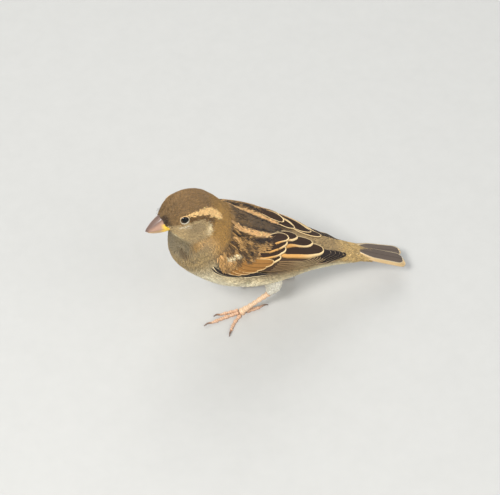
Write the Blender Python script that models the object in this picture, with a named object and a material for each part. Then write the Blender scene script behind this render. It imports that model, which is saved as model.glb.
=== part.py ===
"""House sparrow, adult female, life size, standing on a floor.

The bird faces -X with its left side towards -Y and its soles on z = 0.
Lengths below are in millimetres; put() brings them to metres and moves the
bird so that the middle of its length stands over the origin.
"""

import math

import bmesh
import bpy
import numpy as np
from mathutils import Vector
from mathutils.bvhtree import BVHTree

MM = 0.001
CENTRE_X = 22.75            # middle of the bird's length

# ---------------------------------------------------------------- driving sizes
GAP = 0.3                   # clear space between neighbouring pieces
LIE = 0.45                  # how far a folded wing lies off the body
HEAD_TURN = 15.0            # degrees, towards the bird's left
TURN_PIVOT = (-17.0, 0.0)   # x, y of the upright line that the head turns about
BODY_SIDES = 30             # facets round the body

# Stations of the body from the base of the bill to the root of the tail:
# back line x, z; breast line x, z; half width; how much wider the section is
# below its middle (share); squareness of the section (2 is an ellipse);
# share of the head's turn.
STATIONS = np.array([
    (-38.9, 82.2, -35.8, 72.8, 4.3, 0.00, 2.0, 1.00),    # 0 base of the bill
    (-36.6, 85.8, -34.4, 69.4, 7.0, 0.05, 2.0, 1.00),    # 1 lores
    (-31.2, 89.5, -33.2, 65.4, 9.5, 0.08, 2.0, 1.00),    # 2 eyes
    (-23.0, 90.4, -33.2, 61.6, 10.9, 0.10, 2.0, 0.97),   # 3 crown
    (-14.8, 86.6, -33.6, 57.6, 12.0, 0.08, 2.0, 0.88),   # 4 hind crown
    (-8.4, 79.0, -34.2, 53.2, 13.8, 0.04, 2.1, 0.68),    # 5 nape
    (-3.0, 71.0, -33.8, 48.4, 15.9, 0.00, 2.1, 0.42),    # 6 neck
    (2.6, 64.8, -30.6, 42.8, 17.8, 0.00, 2.1, 0.18),     # 7 shoulders
    (8.6, 59.8, -23.8, 36.2, 19.1, 0.00, 2.2, 0.04),     # 8 mantle and breast
    (16.0, 54.0, -12.8, 28.8, 19.5, 0.00, 2.4, 0.00),    # 9 back and keel
    (25.0, 47.6, 2.2, 23.6, 18.6, 0.00, 2.4, 0.00),      # 10 back and belly
    (34.6, 41.2, 18.0, 22.2, 15.4, 0.00, 2.4, 0.00),     # 11 lower back
    (44.6, 35.4, 33.0, 21.6, 11.0, 0.00, 2.3, 0.00),     # 12 rump and vent
    (54.6, 29.8, 47.4, 19.6, 7.8, 0.00, 2.2, 0.00),      # 13 tail coverts
    (67.0, 22.9, 64.1, 17.0, 5.6, 0.00, 2.2, 0.00),      # 14 root of the tail
])

# The body's pieces: name, first and last station, rings.
BODY_PIECES = (
    ("head", 0.0, 4.5, 18),
    ("neck", 4.5, 6.9, 8),
    ("breast", 6.9, 9.4, 9),
    ("belly", 9.4, 12.0, 8),
    ("rump", 12.0, 14.0, 8),
)

# Rows of a folded wing from the bend to the tip: station and degrees round the
# body at the upper edge, the same at the lower edge, thickness.
WING_ROWS = np.array([
    (6.6, 45, 7.0, 98, 0.8),
    (7.3, 33, 7.8, 100, 2.1),
    (8.4, 24, 8.6, 91, 2.4),
    (9.5, 20, 9.2, 84, 2.3),
    (10.3, 20, 10.2, 77, 2.1),
    (11.2, 28, 11.3, 76, 1.9),
    (12.0, 46, 12.3, 78, 1.5),
    (13.1, 56, 13.2, 66, 1.1),
])
WING_PIECES = (
    ("wing_coverts", 0.0, 3.0, 8),
    ("wing_secondaries", 3.0, 5.4, 6),
    ("wing_primaries", 5.4, 7.0, 5),
)
WING_COLUMNS = 7

# Head furniture, before the head's turn.
EYE_CENTRE = (-29.6, 6.3, 82.0)
EYE_RADIUS = 2.7
BILL_TIP = (-47.6, 0.0, 75.4)
# Sections of the bill from the base: x, z of the culmen; x, z of the lower
# edge; half width; z of the parting between the mandibles.
BILL_ROWS = np.array([
    (-39.2, 82.2, -36.2, 72.8, 4.1, 75.2),
    (-40.9, 81.3, -38.0, 72.0, 3.8, 76.0),
    (-42.7, 80.1, -40.2, 71.9, 3.2, 76.1),
    (-44.6, 78.6, -42.8, 72.5, 2.4, 75.9),
    (-46.4, 76.9, -45.4, 73.8, 1.3, 75.5),
])

# Tail: x and z of the top line, half width, thickness.
TAIL_ROWS = np.array([
    (67.3, 22.7, 5.5, 5.8),
    (71.0, 20.8, 5.8, 3.9),
    (77.0, 17.8, 6.4, 2.8),
    (84.0, 14.4, 7.0, 1.9),
    (92.4, 10.5, 7.4, 1.0),
])
TAIL_NOTCH = 1.6

# Left leg; the right one is its mirror image, a step further back, and leaves the belly further back.
STEP_BACK = 18.5
ROOT_BACK = 10.5
HEEL = (15.6, -11.1, 15.0)
SHIN_ROOT = (17.6, -10.6, 28.0)
# Shin: share of its height, radius, how far it bulges aft.
SHIN_ROWS = (
    (0.0, 1.3, 0.0), (0.12, 2.4, 0.4), (0.35, 3.4, 1.1), (0.65, 3.9, 0.9),
    (1.0, 4.0, 0.4), (1.0, 2.0, 0.4), (1.0, 0.0, 0.4),
)
BALL = (1.2, -9.2)          # x, y of the ball of the foot
# Toes: name, root ahead of and outwards from the middle of the ball, heading
# in degrees outwards from straight ahead, bend, length, claw, radius.
TOES = (
    ("inner", 2.0, -1.8, 2, 2, 9.5, 4.2, 0.78),
    ("middle", 2.3, 0.0, 9, 4, 15.0, 5.0, 0.9),
    ("outer", 1.5, 1.8, 38, 24, 11.0, 4.4, 0.8),
    ("hind", -2.3, 0.0, 188, 0, 7.0, 5.6, 0.95),
)


# Materials: where they go, name, colour, roughness.
LOOKS = (
    ("head", "crown feathers", (0.33, 0.23, 0.12), 0.85),
    ("neck", "nape feathers", (0.42, 0.31, 0.17), 0.85),
    ("breast", "breast feathers", (0.52, 0.45, 0.30), 0.85),
    ("belly", "belly feathers", (0.66, 0.60, 0.44), 0.85),
    ("rump", "rump feathers", (0.45, 0.36, 0.20), 0.85),
    ("wing_coverts", "covert feathers", (0.30, 0.20, 0.10), 0.8),
    ("wing_secondaries", "secondary feathers", (0.36, 0.26, 0.14), 0.8),
    ("wing_primaries", "primary feathers", (0.10, 0.08, 0.06), 0.8),
    ("tail", "tail feathers", (0.20, 0.16, 0.11), 0.8),
    ("shin", "shin feathers", (0.72, 0.70, 0.62), 0.9),
    ("eyes", "eye", (0.01, 0.008, 0.006), 0.1),
    ("upper_mandible", "upper bill horn", (0.52, 0.36, 0.28), 0.4),
    ("lower_mandible", "lower bill horn", (0.60, 0.42, 0.22), 0.4),
    ("legs", "leg skin", (0.52, 0.30, 0.20), 0.55),
    ("claws", "claw horn", (0.10, 0.07, 0.05), 0.4),
)


def between(rows, t):
    """The row at place t of a table, on a smooth curve through all its rows."""
    last = len(rows) - 1
    i = min(max(int(math.floor(t)), 0), last - 1)
    f = t - i
    a, b = rows[i], rows[i + 1]
    into = (b - rows[i - 1]) / 2 if i > 0 else b - a
    out = (rows[i + 2] - a) / 2 if i + 2 <= last else b - a
    return (
        a * (2 * f**3 - 3 * f**2 + 1)
        + into * (f**3 - 2 * f**2 + f)
        + b * (3 * f**2 - 2 * f**3)
        + out * (f**3 - f**2)
    )


def turned(point, share=1.0):
    """The point after that share of the head's turn."""
    angle = math.radians(HEAD_TURN) * share
    dx, dy = point[0] - TURN_PIVOT[0], point[1] - TURN_PIVOT[1]
    return Vector((
        TURN_PIVOT[0] + dx * math.cos(angle) - dy * math.sin(angle),
        TURN_PIVOT[1] + dx * math.sin(angle) + dy * math.cos(angle),
        point[2],
    ))


def swell(value, power):
    """Brings a sine or cosine to that of a squarer section."""
    return math.copysign(abs(value) ** (2 / power), value)


def body_point(t, around, grow=0.0):
    """A point of the body's surface, moved outwards by grow.

    around is 0 on the back, 90 on the left side and 180 on the breast line.
    """
    back_x, back_z, low_x, low_z, half, sag, power, share = between(STATIONS, t)
    back, low = Vector((back_x, 0, back_z)), Vector((low_x, 0, low_z))
    middle, rise = (back + low) / 2, (back - low) / 2
    a = math.radians(around)
    up = swell(math.cos(a), power)
    flat = middle + rise.normalized() * ((rise.length + grow) * up)
    flat.y = -(half + grow) * (1 - sag * up) * swell(math.sin(a), power)
    return turned(flat, share)


def body_ring(t, grow=0.0):
    return [body_point(t, 360 * k / BODY_SIDES, grow) for k in range(BODY_SIDES)]


# ---------------------------------------------------------------- mesh helpers
def material(name, colour, roughness):
    made = bpy.data.materials.new(name)
    made.use_nodes = True
    shader = made.node_tree.nodes["Principled BSDF"]
    shader.inputs["Base Color"].default_value = (*colour, 1)
    shader.inputs["Roughness"].default_value = roughness
    made.diffuse_color = (*colour, 1)
    return made


def put(name, bm, look, folder, angle=40):
    """Makes the object of a finished bmesh whose points are in millimetres."""
    bmesh.ops.recalc_face_normals(bm, faces=bm.faces)
    bmesh.ops.translate(bm, vec=(-CENTRE_X, 0, 0), verts=bm.verts)
    bmesh.ops.scale(bm, vec=(MM, MM, MM), verts=bm.verts)
    mesh = bpy.data.meshes.new(name)
    bm.to_mesh(mesh)
    bm.free()
    mesh.shade_smooth()
    mesh.set_sharp_from_angle(angle=math.radians(angle))
    made = bpy.data.objects.new(name, mesh)
    made.data.materials.append(look)
    folder.objects.link(made)
    return made


def loft(rings):
    """A closed bmesh through rings of points; a ring of one point is a tip.

    A ring starts at its top, so its ends close in strips from side to side.
    """
    bm = bmesh.new()
    rows = [[bm.verts.new(p) for p in ring] for ring in rings]
    for low, high in zip(rows, rows[1:]):
        count = max(len(low), len(high))
        for k in range(count):
            n = (k + 1) % count
            if len(low) == 1:
                bm.faces.new((low[0], high[k], high[n]))
            elif len(high) == 1:
                bm.faces.new((low[k], low[n], high[0]))
            else:
                bm.faces.new((low[k], low[n], high[n], high[k]))
    for end in (rows[0], rows[-1]):
        count = len(end)
        for k in range(count // 2 if count > 1 else 0):
            strip = (end[k], end[k + 1], end[-k - 1], end[-k])
            bm.faces.new(list(dict.fromkeys(strip)))
    return bm


def plate(outer, inner):
    """A closed bmesh between two equal grids of points, with a rim."""
    bm = bmesh.new()
    sheets = [[[bm.verts.new(p) for p in row] for row in grid] for grid in (outer, inner)]
    rows, columns = len(outer), len(outer[0])
    for sheet in sheets:
        for a, b in zip(sheet, sheet[1:]):
            for k in range(columns - 1):
                bm.faces.new((a[k], a[k + 1], b[k + 1], b[k]))
    rim = [(0, k) for k in range(columns)]
    rim += [(i, columns - 1) for i in range(1, rows)]
    rim += [(rows - 1, k) for k in range(columns - 2, -1, -1)]
    rim += [(i, 0) for i in range(rows - 2, 0, -1)]
    for (i, k), (j, n) in zip(rim, rim[1:] + rim[:1]):
        bm.faces.new((sheets[0][i][k], sheets[0][j][n], sheets[1][j][n], sheets[1][i][k]))
    return bm


def tube(points, radii, sides, beside, floor=None):
    """Rings square to a line; beside is a direction the line never takes."""
    rings = []
    for i, point in enumerate(points):
        ahead = points[min(i + 1, len(points) - 1)] - points[max(i - 1, 0)]
        side = ahead.cross(beside).normalized()
        up = side.cross(ahead).normalized()
        ring = []
        for k in range(sides):
            a = 2 * math.pi * k / sides
            spot = point + (up * math.cos(a) + side * math.sin(a)) * radii[i]
            if floor is not None:
                spot.z = max(spot.z, floor)
            ring.append(spot)
        rings.append(ring)
    return rings


# ---------------------------------------------------------------- the pieces
def station_cut(t):
    """Half the width, in stations, of a cut that leaves GAP clear."""
    step = 0.01
    speeds = [(body_point(t + step, a) - body_point(t, a)).length / step for a in (0, 180)]
    return GAP / 2 / min(speeds)


def build_body(looks, folder):
    """Head, neck, breast, belly and rump, parted by thin cuts."""
    made = {}
    for name, start, end, steps in BODY_PIECES:
        first = start + (station_cut(start) if start > 0 else 0)
        final = end - (station_cut(end) if end < len(STATIONS) - 1 else 0)
        places = [first + (final - first) * k / steps for k in range(steps + 1)]
        bm = loft([body_ring(t) for t in places])
        made[name] = put(name, bm, looks[name], folder)
    return made


def wing_point(row, share, side, lift):
    """A point of a wing: share runs from its upper to its lower edge."""
    t0, a0, t1, a1, _ = between(WING_ROWS, row)
    around = a0 + (a1 - a0) * share
    return body_point(t0 + (t1 - t0) * share, around * side, lift)


def build_wing(word, side, looks, folder):
    """Coverts, secondaries with tertials, and primaries of one wing."""
    cut = 0.02
    for name, start, end, steps in WING_PIECES:
        first = start + (cut if start > 0 else 0)
        final = end - (cut if end < len(WING_ROWS) - 1 else 0)
        outer, inner = [], []
        for i in range(steps + 1):
            row = first + (final - first) * i / steps
            thick = between(WING_ROWS, row)[4]
            shares = [k / (WING_COLUMNS - 1) for k in range(WING_COLUMNS)]
            full = [0.6 + (thick - 0.6) * math.sin(math.pi * s) ** 0.6 for s in shares]
            full = [max(0.6, value) for value in full]
            inner.append([wing_point(row, s, side, LIE) for s in shares])
            outer.append([wing_point(row, s, side, LIE + f) for s, f in zip(shares, full)])
        put(f"{word}_{name}", plate(outer, inner), looks[name], folder)


def build_eyes(head, looks, folder, guides):
    """Both eyes, and the sockets they sit in."""
    for word, side in (("left", -1), ("right", 1)):
        x, y, z = EYE_CENTRE
        centre = turned((x, y * side, z))
        socket = bmesh.new()
        bmesh.ops.create_uvsphere(socket, u_segments=16, v_segments=10, radius=EYE_RADIUS + GAP)
        bmesh.ops.translate(socket, verts=socket.verts, vec=centre)
        cutter = put(f"{word}_socket", socket, looks["eyes"], guides)
        cutter.hide_render = True
        cutter.display_type = "WIRE"
        cut = head.modifiers.new(f"{word} socket", "BOOLEAN")
        cut.operation = "DIFFERENCE"
        cut.solver = "EXACT"
        cut.object = cutter
        ball = bmesh.new()
        bmesh.ops.create_uvsphere(ball, u_segments=16, v_segments=10, radius=EYE_RADIUS)
        bmesh.ops.translate(ball, verts=ball.verts, vec=centre)
        put(f"{word}_eye", ball, looks["eyes"], folder)


def bill_ring(row, upper, sides=14):
    """Half of a section of the bill, above or below the parting."""
    top_x, top_z, low_x, low_z, half, seam = between(BILL_ROWS, row)
    top, low = Vector((top_x, 0, top_z)), Vector((low_x, 0, low_z))
    share = (seam - low_z) / (top_z - low_z)
    edge = low + (top - low) * share
    reach = (top if upper else low) - edge
    start = reach.normalized() * (GAP / 2)
    ring = []
    for k in range(sides):
        a = 2 * math.pi * k / sides
        rise = max(0.0, math.cos(a)) if upper else max(0.0, -math.cos(a))
        base = edge + start + (reach - start) * rise
        width = half * (1 if upper else 0.86)
        base.y = -width * math.sin(a) * (0.88 + 0.12 * (1 - rise) ** 0.5)
        ring.append(turned(base))
    return ring


def build_bill(looks, folder):
    """The two mandibles."""
    last = len(BILL_ROWS) - 1
    for name, upper in (("upper_mandible", True), ("lower_mandible", False)):
        rings = [bill_ring(last * k / 8, upper) for k in range(9)]
        tip = Vector(BILL_TIP)
        tip.z += 0.2 if upper else -0.25
        tip.x += 0.0 if upper else 0.6
        rings.append([turned(tip)])
        put(name, loft(rings), looks[name], folder)


def build_tail(looks, folder):
    """The tail: a full root that thins to a flat, slightly notched fan."""
    rings = []
    last = len(TAIL_ROWS) - 1
    slope = math.radians(26)
    for i in range(10):
        place = last * i / 9
        x, z, half, thick = between(TAIL_ROWS, place)
        flat = min(1.0, place)
        power = 2.2 + 2.5 * flat
        ring = []
        for k in range(22):
            a = 2 * math.pi * k / 22
            across = -half * swell(math.sin(a), 2.2)
            rise = thick / 2 * (swell(math.cos(a), power) - 1)
            roof = -0.05 * flat * abs(across)
            notch = -TAIL_NOTCH * max(0.0, place - last + 1) ** 2 * (1 - (across / half) ** 2)
            ring.append((
                x + notch * math.cos(slope) + (rise + roof) * math.sin(slope),
                across,
                z - notch * math.sin(slope) + (rise + roof) * math.cos(slope),
            ))
        rings.append(ring)
    put("tail", loft(rings), looks["tail"], folder)


def build_leg(word, side, foot_back, root_back, skin, looks, folder):
    """One leg: feathered shin, scaly shank with the ball, toes and claws."""
    def place(x, y, z, back=foot_back):
        return Vector((x + back, y * side, z))

    heel, root = place(*HEEL), place(*SHIN_ROOT, root_back)
    build_shin(word, heel, root, skin, looks, folder)

    ball = place(*BALL, 1.6)
    top = heel + (ball - heel).normalized() * 1.3
    line = [top.lerp(ball, k / 7) for k in range(8)]
    line.append(place(BALL[0] - 0.2, BALL[1], 0.0))
    radii = [1.35, 1.25, 1.1, 1.0, 1.0, 1.1, 1.35, 1.75, 1.6]
    rings = tube(line, radii, 14, Vector((0, 1, 0)), 0.0)
    for spot in rings[-1]:
        spot.z = 0.0
    put(f"{word}_tarsus", loft(rings), looks["legs"], folder)

    for name, ahead, outwards, heading, bend, length, claw, radius in TOES:
        start = place(BALL[0] - ahead, BALL[1] - outwards, 0.0)
        build_toe(f"{word}_{name}", side, start, heading, bend, length, claw, radius, looks, folder)


def build_toe(word, side, start, heading, bend, length, claw, radius, looks, folder):
    """A toe with its pads, flat underneath, and the claw that ends it."""
    swells = (0.94, 1.0, 0.88, 0.8, 0.98, 0.84, 0.76, 0.92, 0.78, 0.64)
    steps = len(swells) - 1
    line = [start]
    for k in range(steps):
        a = math.radians(heading + bend * k / (steps - 1))
        way = Vector((-math.cos(a), -side * math.sin(a), 0))
        line.append(line[-1] + way * (length / steps))
    for point, swell_here in zip(line, swells):
        point.z = radius * swell_here * 0.76
    rings = tube(line, [radius * s for s in swells], 10, Vector((0, 0, 1)), 0.0)
    put(f"{word}_toe", loft(rings), looks["legs"], folder)

    points = []
    for k in range(7):
        f = k / 6
        arch = Vector((0, 0, 0.5 * math.sin(math.pi * f) - 0.14 * f))
        points.append(line[-1] + way * (GAP + claw * f) + arch)
    radii = (0.56, 0.55, 0.5, 0.44, 0.37, 0.3, 0.25)
    rings = tube(points, radii, 8, Vector((0, 0, 1)), 0.1)
    put(f"{word}_claw", loft(rings), looks["claws"], folder)


def build_shin(word, heel, root, skin, looks, folder):
    """The feathered shin, from the heel to just short of the belly."""
    axis = (root - heel).normalized()
    fore = axis.cross(Vector((0, 1, 0))).normalized()
    side = fore.cross(axis)
    rings = []
    for height, radius, aft in SHIN_ROWS:
        ring = []
        for k in range(14 if radius else 1):
            a = 2 * math.pi * k / 14
            spot = heel + (fore * math.cos(a) + side * math.sin(a)) * radius
            spot.x += aft
            reach = skin.ray_cast(spot, axis)[3]
            ring.append(spot + axis * (0.4 + (reach - 0.4) * height))
        rings.append(ring)
    put(f"{word}_shin", loft(rings), looks["shin"], folder)


def body_tree():
    """The body as a wing lies on it, for finding where a line meets it."""
    steps, n = 56, BODY_SIDES
    last = len(STATIONS) - 1
    points = [p for i in range(steps + 1) for p in body_ring(last * i / steps, LIE)]
    faces = []
    for i in range(steps):
        for k in range(n):
            a, b = i * n + k, i * n + (k + 1) % n
            faces.append((a, b, b + n, a + n))
    return BVHTree.FromPolygons(points, faces)


def main():
    for old in list(bpy.data.objects):
        bpy.data.objects.remove(old)
    bird = bpy.data.collections.new("house_sparrow")
    guides = bpy.data.collections.new("guides")
    bpy.context.scene.collection.children.link(bird)
    bpy.context.scene.collection.children.link(guides)
    looks = {slot: material(name, colour, rough) for slot, name, colour, rough in LOOKS}

    body = build_body(looks, bird)
    build_eyes(body["head"], looks, bird, guides)
    build_bill(looks, bird)
    build_tail(looks, bird)
    skin = body_tree()
    for word, side, step, root in (("left", 1, 0.0, 0.0), ("right", -1, STEP_BACK, ROOT_BACK)):
        build_wing(word, side, looks, bird)
        build_leg(word, side, step, root, skin, looks, bird)


main()
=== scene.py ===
"""A hen house sparrow, life size, dressed in modelled feathers as a still museum-like model.

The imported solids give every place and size. The flesh nodes become one skin, tufts of small feathers lie
over it in the tracts that a bird has, and the wings and the tail are built from single vanes.
"""

import logging
import math
from dataclasses import dataclass, field
from enum import Enum
from typing import Callable

import bmesh
import bpy
import numpy as np
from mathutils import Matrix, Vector
from mathutils.bvhtree import BVHTree
from mathutils.kdtree import KDTree


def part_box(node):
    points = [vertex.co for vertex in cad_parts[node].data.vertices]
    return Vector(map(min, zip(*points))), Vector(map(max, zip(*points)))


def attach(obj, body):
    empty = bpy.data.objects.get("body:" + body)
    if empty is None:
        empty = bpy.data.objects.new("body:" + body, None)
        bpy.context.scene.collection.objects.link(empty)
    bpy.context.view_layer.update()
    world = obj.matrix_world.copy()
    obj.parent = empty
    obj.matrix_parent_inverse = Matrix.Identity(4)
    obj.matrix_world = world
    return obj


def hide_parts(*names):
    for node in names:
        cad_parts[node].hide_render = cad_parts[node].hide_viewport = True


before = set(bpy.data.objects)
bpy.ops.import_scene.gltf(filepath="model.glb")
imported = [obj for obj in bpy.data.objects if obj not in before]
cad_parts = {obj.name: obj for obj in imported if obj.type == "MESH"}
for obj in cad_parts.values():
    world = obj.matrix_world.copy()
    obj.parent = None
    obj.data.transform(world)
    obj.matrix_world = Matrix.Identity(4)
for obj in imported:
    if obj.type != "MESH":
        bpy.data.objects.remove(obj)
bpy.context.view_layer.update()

MM = 0.001
log = logging.getLogger("sparrow")

FLESH = ("head", "neck", "breast", "belly", "rump")
WING = ("wing_coverts", "wing_secondaries", "wing_primaries")

Array = np.ndarray
Piece = bpy.types.Object
Node = bpy.types.Node
Socket = bpy.types.NodeSocket
Pair = tuple[float, float]
Run = tuple[Pair, Pair]
Double = tuple[Array, Array]
Triple = tuple[Array, Array, Array]
Curve = tuple[Pair, ...]


class Side(Enum):
    """The bird's two sides, as the sign of the angle round the spine."""

    LEFT = 1
    RIGHT = -1

    @property
    def label(self) -> str:
        """Spells the side as the nodes' names do."""
        return self.name.lower()


def middle(*nodes: str) -> Array:
    """Finds the middle of the box round some CAD nodes, in metres."""
    corners = [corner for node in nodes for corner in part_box(node)]
    return (np.min(corners, axis=0) + np.max(corners, axis=0)) / 2


def unit(vectors: Array) -> Array:
    """Gives vectors, one in each row, a length of one."""
    return vectors / np.maximum(np.linalg.norm(vectors, axis=-1, keepdims=True), 1e-12)


def from_eyes(points: Array) -> Array:
    """Tells how far points lie from the middle of the nearer eye, in millimetres."""
    gaps = [np.linalg.norm(points - middle(f"{side.label}_eye"), axis=-1) for side in Side]
    return np.min(gaps, axis=0) / MM


def away_from_back(around: Array) -> Array:
    """Turns angles round the spine into angles from the back line, alike on both sides."""
    return np.abs((np.asarray(around) + 180) % 360 - 180)


def searchable(pieces: list[Piece]) -> BVHTree:
    """Makes the surface of some pieces searchable.

    Args:
        pieces: the pieces.

    Returns:
        One search tree over the faces of them all.
    """
    points, faces = [], []
    for piece in pieces:
        start = len(points)
        points += [vertex.co.copy() for vertex in piece.data.vertices]
        faces += [tuple(start + corner for corner in face.vertices) for face in piece.data.polygons]
    return BVHTree.FromPolygons(points, faces)


def tree_of(*nodes: str) -> BVHTree:
    """Makes the surface of some CAD nodes searchable."""
    return searchable([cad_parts[node] for node in nodes])


@dataclass
class Spine:
    """The line through the middle of the bird, along which every feather's place is told.

    A place is counted in sub-parts: 0 at the root of the bill, 1 in the middle of the head, 2 in the
    neck, 3 in the breast, 4 in the belly, 5 in the rump, 6 at the root of the tail and 7 in its middle. The
    angle round the line is 0 on the back, 90 on the bird's left side and 180 below. The leans tell how far
    the sections tip from upright, in degrees, and the head's turn fades between the two turned places.
    """

    leans: Curve = (
        (0, -18), (0.25, 10), (0.6, 32), (1, 42), (2, 55), (3, 55), (4, 45), (5, 36), (6, 26), (7, 26))
    bill_overlap: float = 0.8
    tail_height: float = 0.12
    turned: Pair = (1.0, 2.6)
    knots: Array = field(init=False)

    def __post_init__(self) -> None:
        """Threads the line through the middles of the flesh nodes."""
        inner = [middle(node) for node in FLESH]
        bill = middle("upper_mandible", "lower_mandible")
        face = inner[0] + (bill - inner[0]) * self.bill_overlap
        low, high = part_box("rump")
        root = np.array([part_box("tail")[0].x, 0.0, low.z + (high.z - low.z) * self.tail_height])
        self.knots = np.array([face, *inner, root, middle("tail")])

    def at(self, along: Array) -> Triple:
        """Finds points on the line and the directions of the section through each.

        Args:
            along: places along the line.

        Returns:
            The points, the directions towards the back, and those towards the bird's left.
        """
        along = np.asarray(along, dtype=float)
        step = np.clip(np.floor(along).astype(int), 0, len(self.knots) - 2)
        share = (along - step)[..., None]
        ends = np.vstack([2 * self.knots[0] - self.knots[1], self.knots,
                          2 * self.knots[-1] - self.knots[-2]])
        before, start, stop, after = (ends[step + k] for k in range(4))
        points = start + 0.5 * share * (
            stop - before + share * (2 * before - 5 * start + 4 * stop - after
                                     + share * (3 * (start - stop) + after - before)))
        lean = np.radians(np.interp(along, *zip(*self.leans)))
        turn = self.turn(along)
        ahead = np.stack([np.cos(turn), np.sin(turn), np.zeros_like(turn)], axis=-1)
        back = np.cos(lean)[..., None] * np.array([0, 0, 1.0]) + np.sin(lean)[..., None] * ahead
        left = np.cross(ahead, [0, 0, 1.0])
        return points, back, left

    def turn(self, along: Array) -> Array:
        """Finds how far the line is turned from the bird's length, which is all in the head and neck.

        Args:
            along: places along the line.

        Returns:
            The turn at each place, in radians.
        """
        sideways = np.array(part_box("right_eye")[0]) - np.array(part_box("left_eye")[0])
        whole = math.atan2(-sideways[0], sideways[1])
        start, stop = self.turned
        return whole * np.clip((stop - along) / (stop - start), 0, 1)


@dataclass
class Limb:
    """The axis of a feathered shin, told as the spine is: 0 near its top and 1 near its lower end.

    Its ends are the middles of the solid's top and bottom fifths, moved apart by the overhang's share.
    """

    node: str
    fifth: float = 0.2
    overhang: float = 0.12
    top: Array = field(init=False)
    foot: Array = field(init=False)

    def __post_init__(self) -> None:
        """Finds both ends from the solid."""
        points = Mesh.points(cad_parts[self.node])
        low, high = np.quantile(points[:, 2], (self.fifth, 1 - self.fifth))
        ends = (points[points[:, 2] >= high].mean(axis=0), points[points[:, 2] <= low].mean(axis=0))
        reach = (ends[1] - ends[0]) * self.overhang
        self.top, self.foot = ends[0] - reach, ends[1] + reach

    def at(self, along: Array) -> Triple:
        """Finds points on the axis and the directions of the section through each.

        Args:
            along: places along the axis.

        Returns:
            The points, the directions aft, and those towards the bird's left.
        """
        share = np.asarray(along)[..., None]
        points = self.top + (self.foot - self.top) * share
        axis = unit(self.foot - self.top)
        back = unit(np.array([1.0, 0, 0]) - axis * axis[0])
        left = np.cross(axis, back)
        return points, np.broadcast_to(back, points.shape), np.broadcast_to(left, points.shape)


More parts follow.
